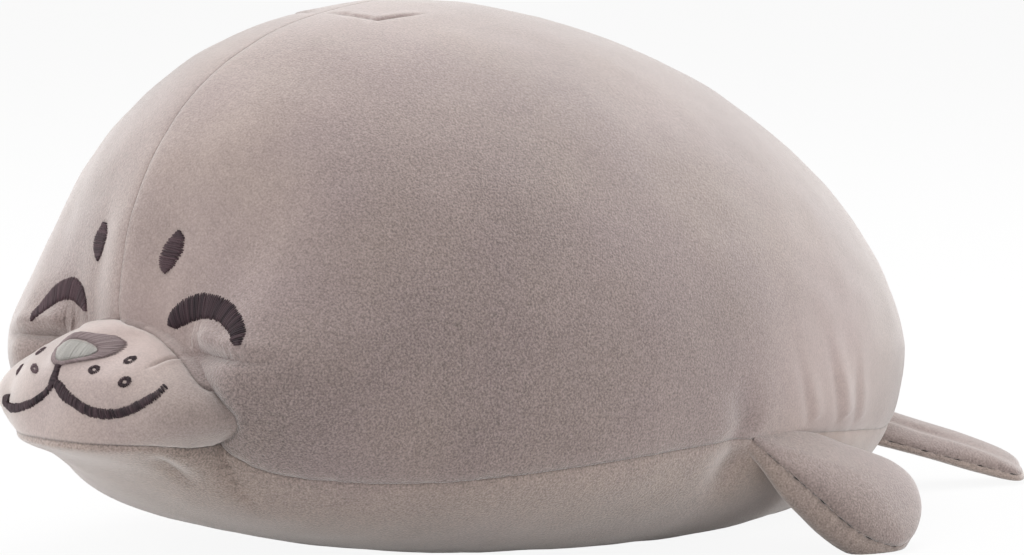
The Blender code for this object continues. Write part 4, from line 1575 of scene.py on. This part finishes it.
@dataclass(frozen=True)
class Studio:
    """The floor, the soft lamps, the pale surroundings and the camera."""

    azimuth: float = 45.4445
    elevation: float = 5.7904
    distance: float = 2.0
    lens: float = 166.79
    target: Spot = (-0.0639, 0.0718, 0.09)

    def build(self) -> None:
        """Build the studio."""
        self.add_floor()
        self.add_world()
        self.add_lamp("front", (1.4, -1.5, 1.2), 1.6, 3.0)
        self.add_lamp("face_side", (-1.5, -1.5, 1.0), 1.4, 18.0)
        self.add_lamp("brow", (-0.5, -1.7, 2.0), 1.2, 9.0)
        self.add_lamp("overhead", (-0.5, 0.4, 2.3), 1.8, 41.0)
        self.add_lamp("rear_side", (1.7, 1.6, 1.0), 1.5, 22.0)
        self.add_camera()

    def add_floor(self) -> None:
        """Add the floor under the seal."""
        mesh = bmesh.new()
        bmesh.ops.create_circle(mesh, cap_ends=True, segments=96, radius=6.0)
        floor = finish_object("floor", mesh, FloorFinish().build())

    def add_world(self) -> None:
        """Make the surroundings white where they show and softly bright elsewhere."""
        world = bpy.data.worlds.new("pale studio")
        bpy.context.scene.world = world
        world.use_nodes = True
        tree = world.node_tree
        soft = tree.nodes["Background"]
        soft.inputs["Color"].default_value = (1.0, 0.99, 0.98, 1.0)
        soft.inputs["Strength"].default_value = 0.46
        white = tree.nodes.new("ShaderNodeBackground")
        white.inputs["Strength"].default_value = 1.0
        path = tree.nodes.new("ShaderNodeLightPath")
        mix = tree.nodes.new("ShaderNodeMixShader")
        tree.links.new(path.outputs["Is Camera Ray"], mix.inputs["Fac"])
        tree.links.new(soft.outputs[0], mix.inputs[1])
        tree.links.new(white.outputs[0], mix.inputs[2])
        tree.links.new(mix.outputs[0], tree.nodes["World Output"].inputs["Surface"])

    def add_lamp(self, name: str, place: Spot, size: float, power: float) -> None:
        """Add a square soft lamp that faces the seal."""
        data = bpy.data.lights.new(name, "AREA")
        data.shape = "SQUARE"
        data.size = size
        data.energy = power
        lamp = bpy.data.objects.new(name, data)
        lamp.location = place
        lamp.rotation_euler = (Vector((0.0, 0.0, 0.1)) - Vector(place)).to_track_quat("-Z", "Y").to_euler()
        bpy.context.scene.collection.objects.link(lamp)

    def add_camera(self) -> None:
        """Add the camera at the photograph's angle."""
        a, e = math.radians(self.azimuth), math.radians(self.elevation)
        back = Vector((math.sin(a)*math.cos(e), -math.cos(a)*math.cos(e), math.sin(e)))
        data = bpy.data.cameras.new("view")
        data.lens = self.lens
        data.sensor_width = 36.0
        data.sensor_fit = "HORIZONTAL"
        camera = bpy.data.objects.new("view", data)
        camera.location = Vector(self.target) + back*self.distance
        camera.rotation_euler = (-back).to_track_quat("-Z", "Y").to_euler()
        bpy.context.scene.collection.objects.link(camera)
        bpy.context.scene.camera = camera


# ---------------------------------------------------------------- the whole seal


def front_flippers(body: Body, plush: bpy.types.Material, under: bpy.types.Material,
                   filling: bpy.types.Material) -> list[Flipper]:
    """Lay out the two front flippers, which slant down from the side seams to the floor."""
    sweep = Vector((-0.12, 0.99, 0.0)).normalized()
    fall = Vector((0.58, 0.0, -0.81)).normalized()
    place = frame_of(Vector((0.137, 0.003, 0.047)), sweep, fall.cross(sweep))
    outline = ((0.0005, 0.0000), (0.0090, 0.0012), (0.0220, 0.0012), (0.0390, -0.0018),
               (0.0525, -0.0080), (0.0665, -0.0145), (0.0775, -0.0215), (0.0825, -0.0305),
               (0.0785, -0.0415), (0.0675, -0.0505), (0.0565, -0.0545), (0.0480, -0.0535),
               (0.0370, -0.0482), (0.0283, -0.0397), (0.0207, -0.0287), (0.0132, -0.0184),
               (0.0060, -0.0085))
    dents = ((0.0120, -0.0110, 0.0005, 0.0016, 0.0050),)
    return [Flipper(label + "_front_flipper", label + "_front_flipper", place, outline, 0.0262,
                    0.335, plush, under, filling, body, side, dents=dents, pinch=0.036,
                    under_lean=(-0.0050, -0.0022))
            for label, side in (("left", 1.0), ("right", -1.0))]


def hind_flippers(body: Body, plush: bpy.types.Material, under: bpy.types.Material,
                  filling: bpy.types.Material) -> list[Flipper]:
    """Lay out the two hind flippers, which trail from the tail down to the floor."""
    root, tip = Vector((0.024, 0.158, 0.0370)), Vector((0.0705, 0.2440, 0.0062))
    tilted = Vector((math.sin(0.35), 0.0, math.cos(0.35)))
    place = frame_of(root, tip - root, tilted)
    long = (tip - root).length
    outline = ((0.0, -0.006), (0.018, -0.0155), (0.040, -0.0160), (0.065, -0.0145),
               (0.086, -0.0130), (long - 0.004, -0.0110), (long, -0.002), (long - 0.001, 0.007),
               (0.088, 0.0110), (0.065, 0.0140), (0.040, 0.0155), (0.018, 0.0145), (0.0, 0.006))
    dents = ((0.055, -0.0045, 0.0011, 0.0026, 0.040),)
    return [Flipper(label + "_hind_flipper", label + "_hind_flipper", place, outline, 0.0115,
                    0.5, plush, under, filling, body, side, 60, dents=dents, painted_seam_shade=0.0)
            for label, side in (("left", 1.0), ("right", -1.0))]


def main() -> None:
    """Build the seal and the studio, in order."""
    logging.basicConfig(level=logging.INFO, format="%(message)s")
    bpy.context.scene.view_settings.view_transform = "Standard"
    Studio().build()
    dresser = Dresser()
    plush = PlushFinish("greige plush", (0.292, 0.228, 0.220), (0.312, 0.247, 0.225)).build(dresser)
    # belly plush: a paler copy of the greige plush, painted lighter for the floor's bounced light on the
    # belly and the flippers' under cloths
    belly = PlushFinish("belly plush", (0.350, 0.276, 0.256), (0.372, 0.296, 0.256)).build(dresser)
    # muzzle plush: a paler copy again, painted lighter where the lamps light the muzzle, with less grain,
    # as on a lit surface
    muzzle = PlushFinish("muzzle plush", (0.405, 0.326, 0.312), (0.422, 0.338, 0.304),
                         grain=0.6).build(dresser)
    filling = FillingFinish("white fibre").build(dresser)
    threads = {
        "dark_thread": ThreadFinish("dark thread", (0.014, 0.006, 0.010),
                                    (0.092, 0.052, 0.062)).build(dresser),
        "grey_thread": ThreadFinish("grey thread", (0.200, 0.148, 0.152),
                                    (0.300, 0.238, 0.240)).build(dresser),
        "nose_thread": ThreadFinish("nose thread", (0.390, 0.375, 0.355),
                                    (0.480, 0.465, 0.440)).build(dresser)}
    body = Body(dresser, plush, belly, muzzle, filling)
    pieces = body.build()
    for flipper in front_flippers(body, plush, belly, filling) + hind_flippers(body, plush, belly,
                                                                             filling):
        cloths = flipper.build()
        pieces.extend(cloths)
    pieces.extend(Embroidery(body, threads, face_patches()).build())
    for thing in pieces:
        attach(thing, "root")


if __name__ == "__main__":
    main()
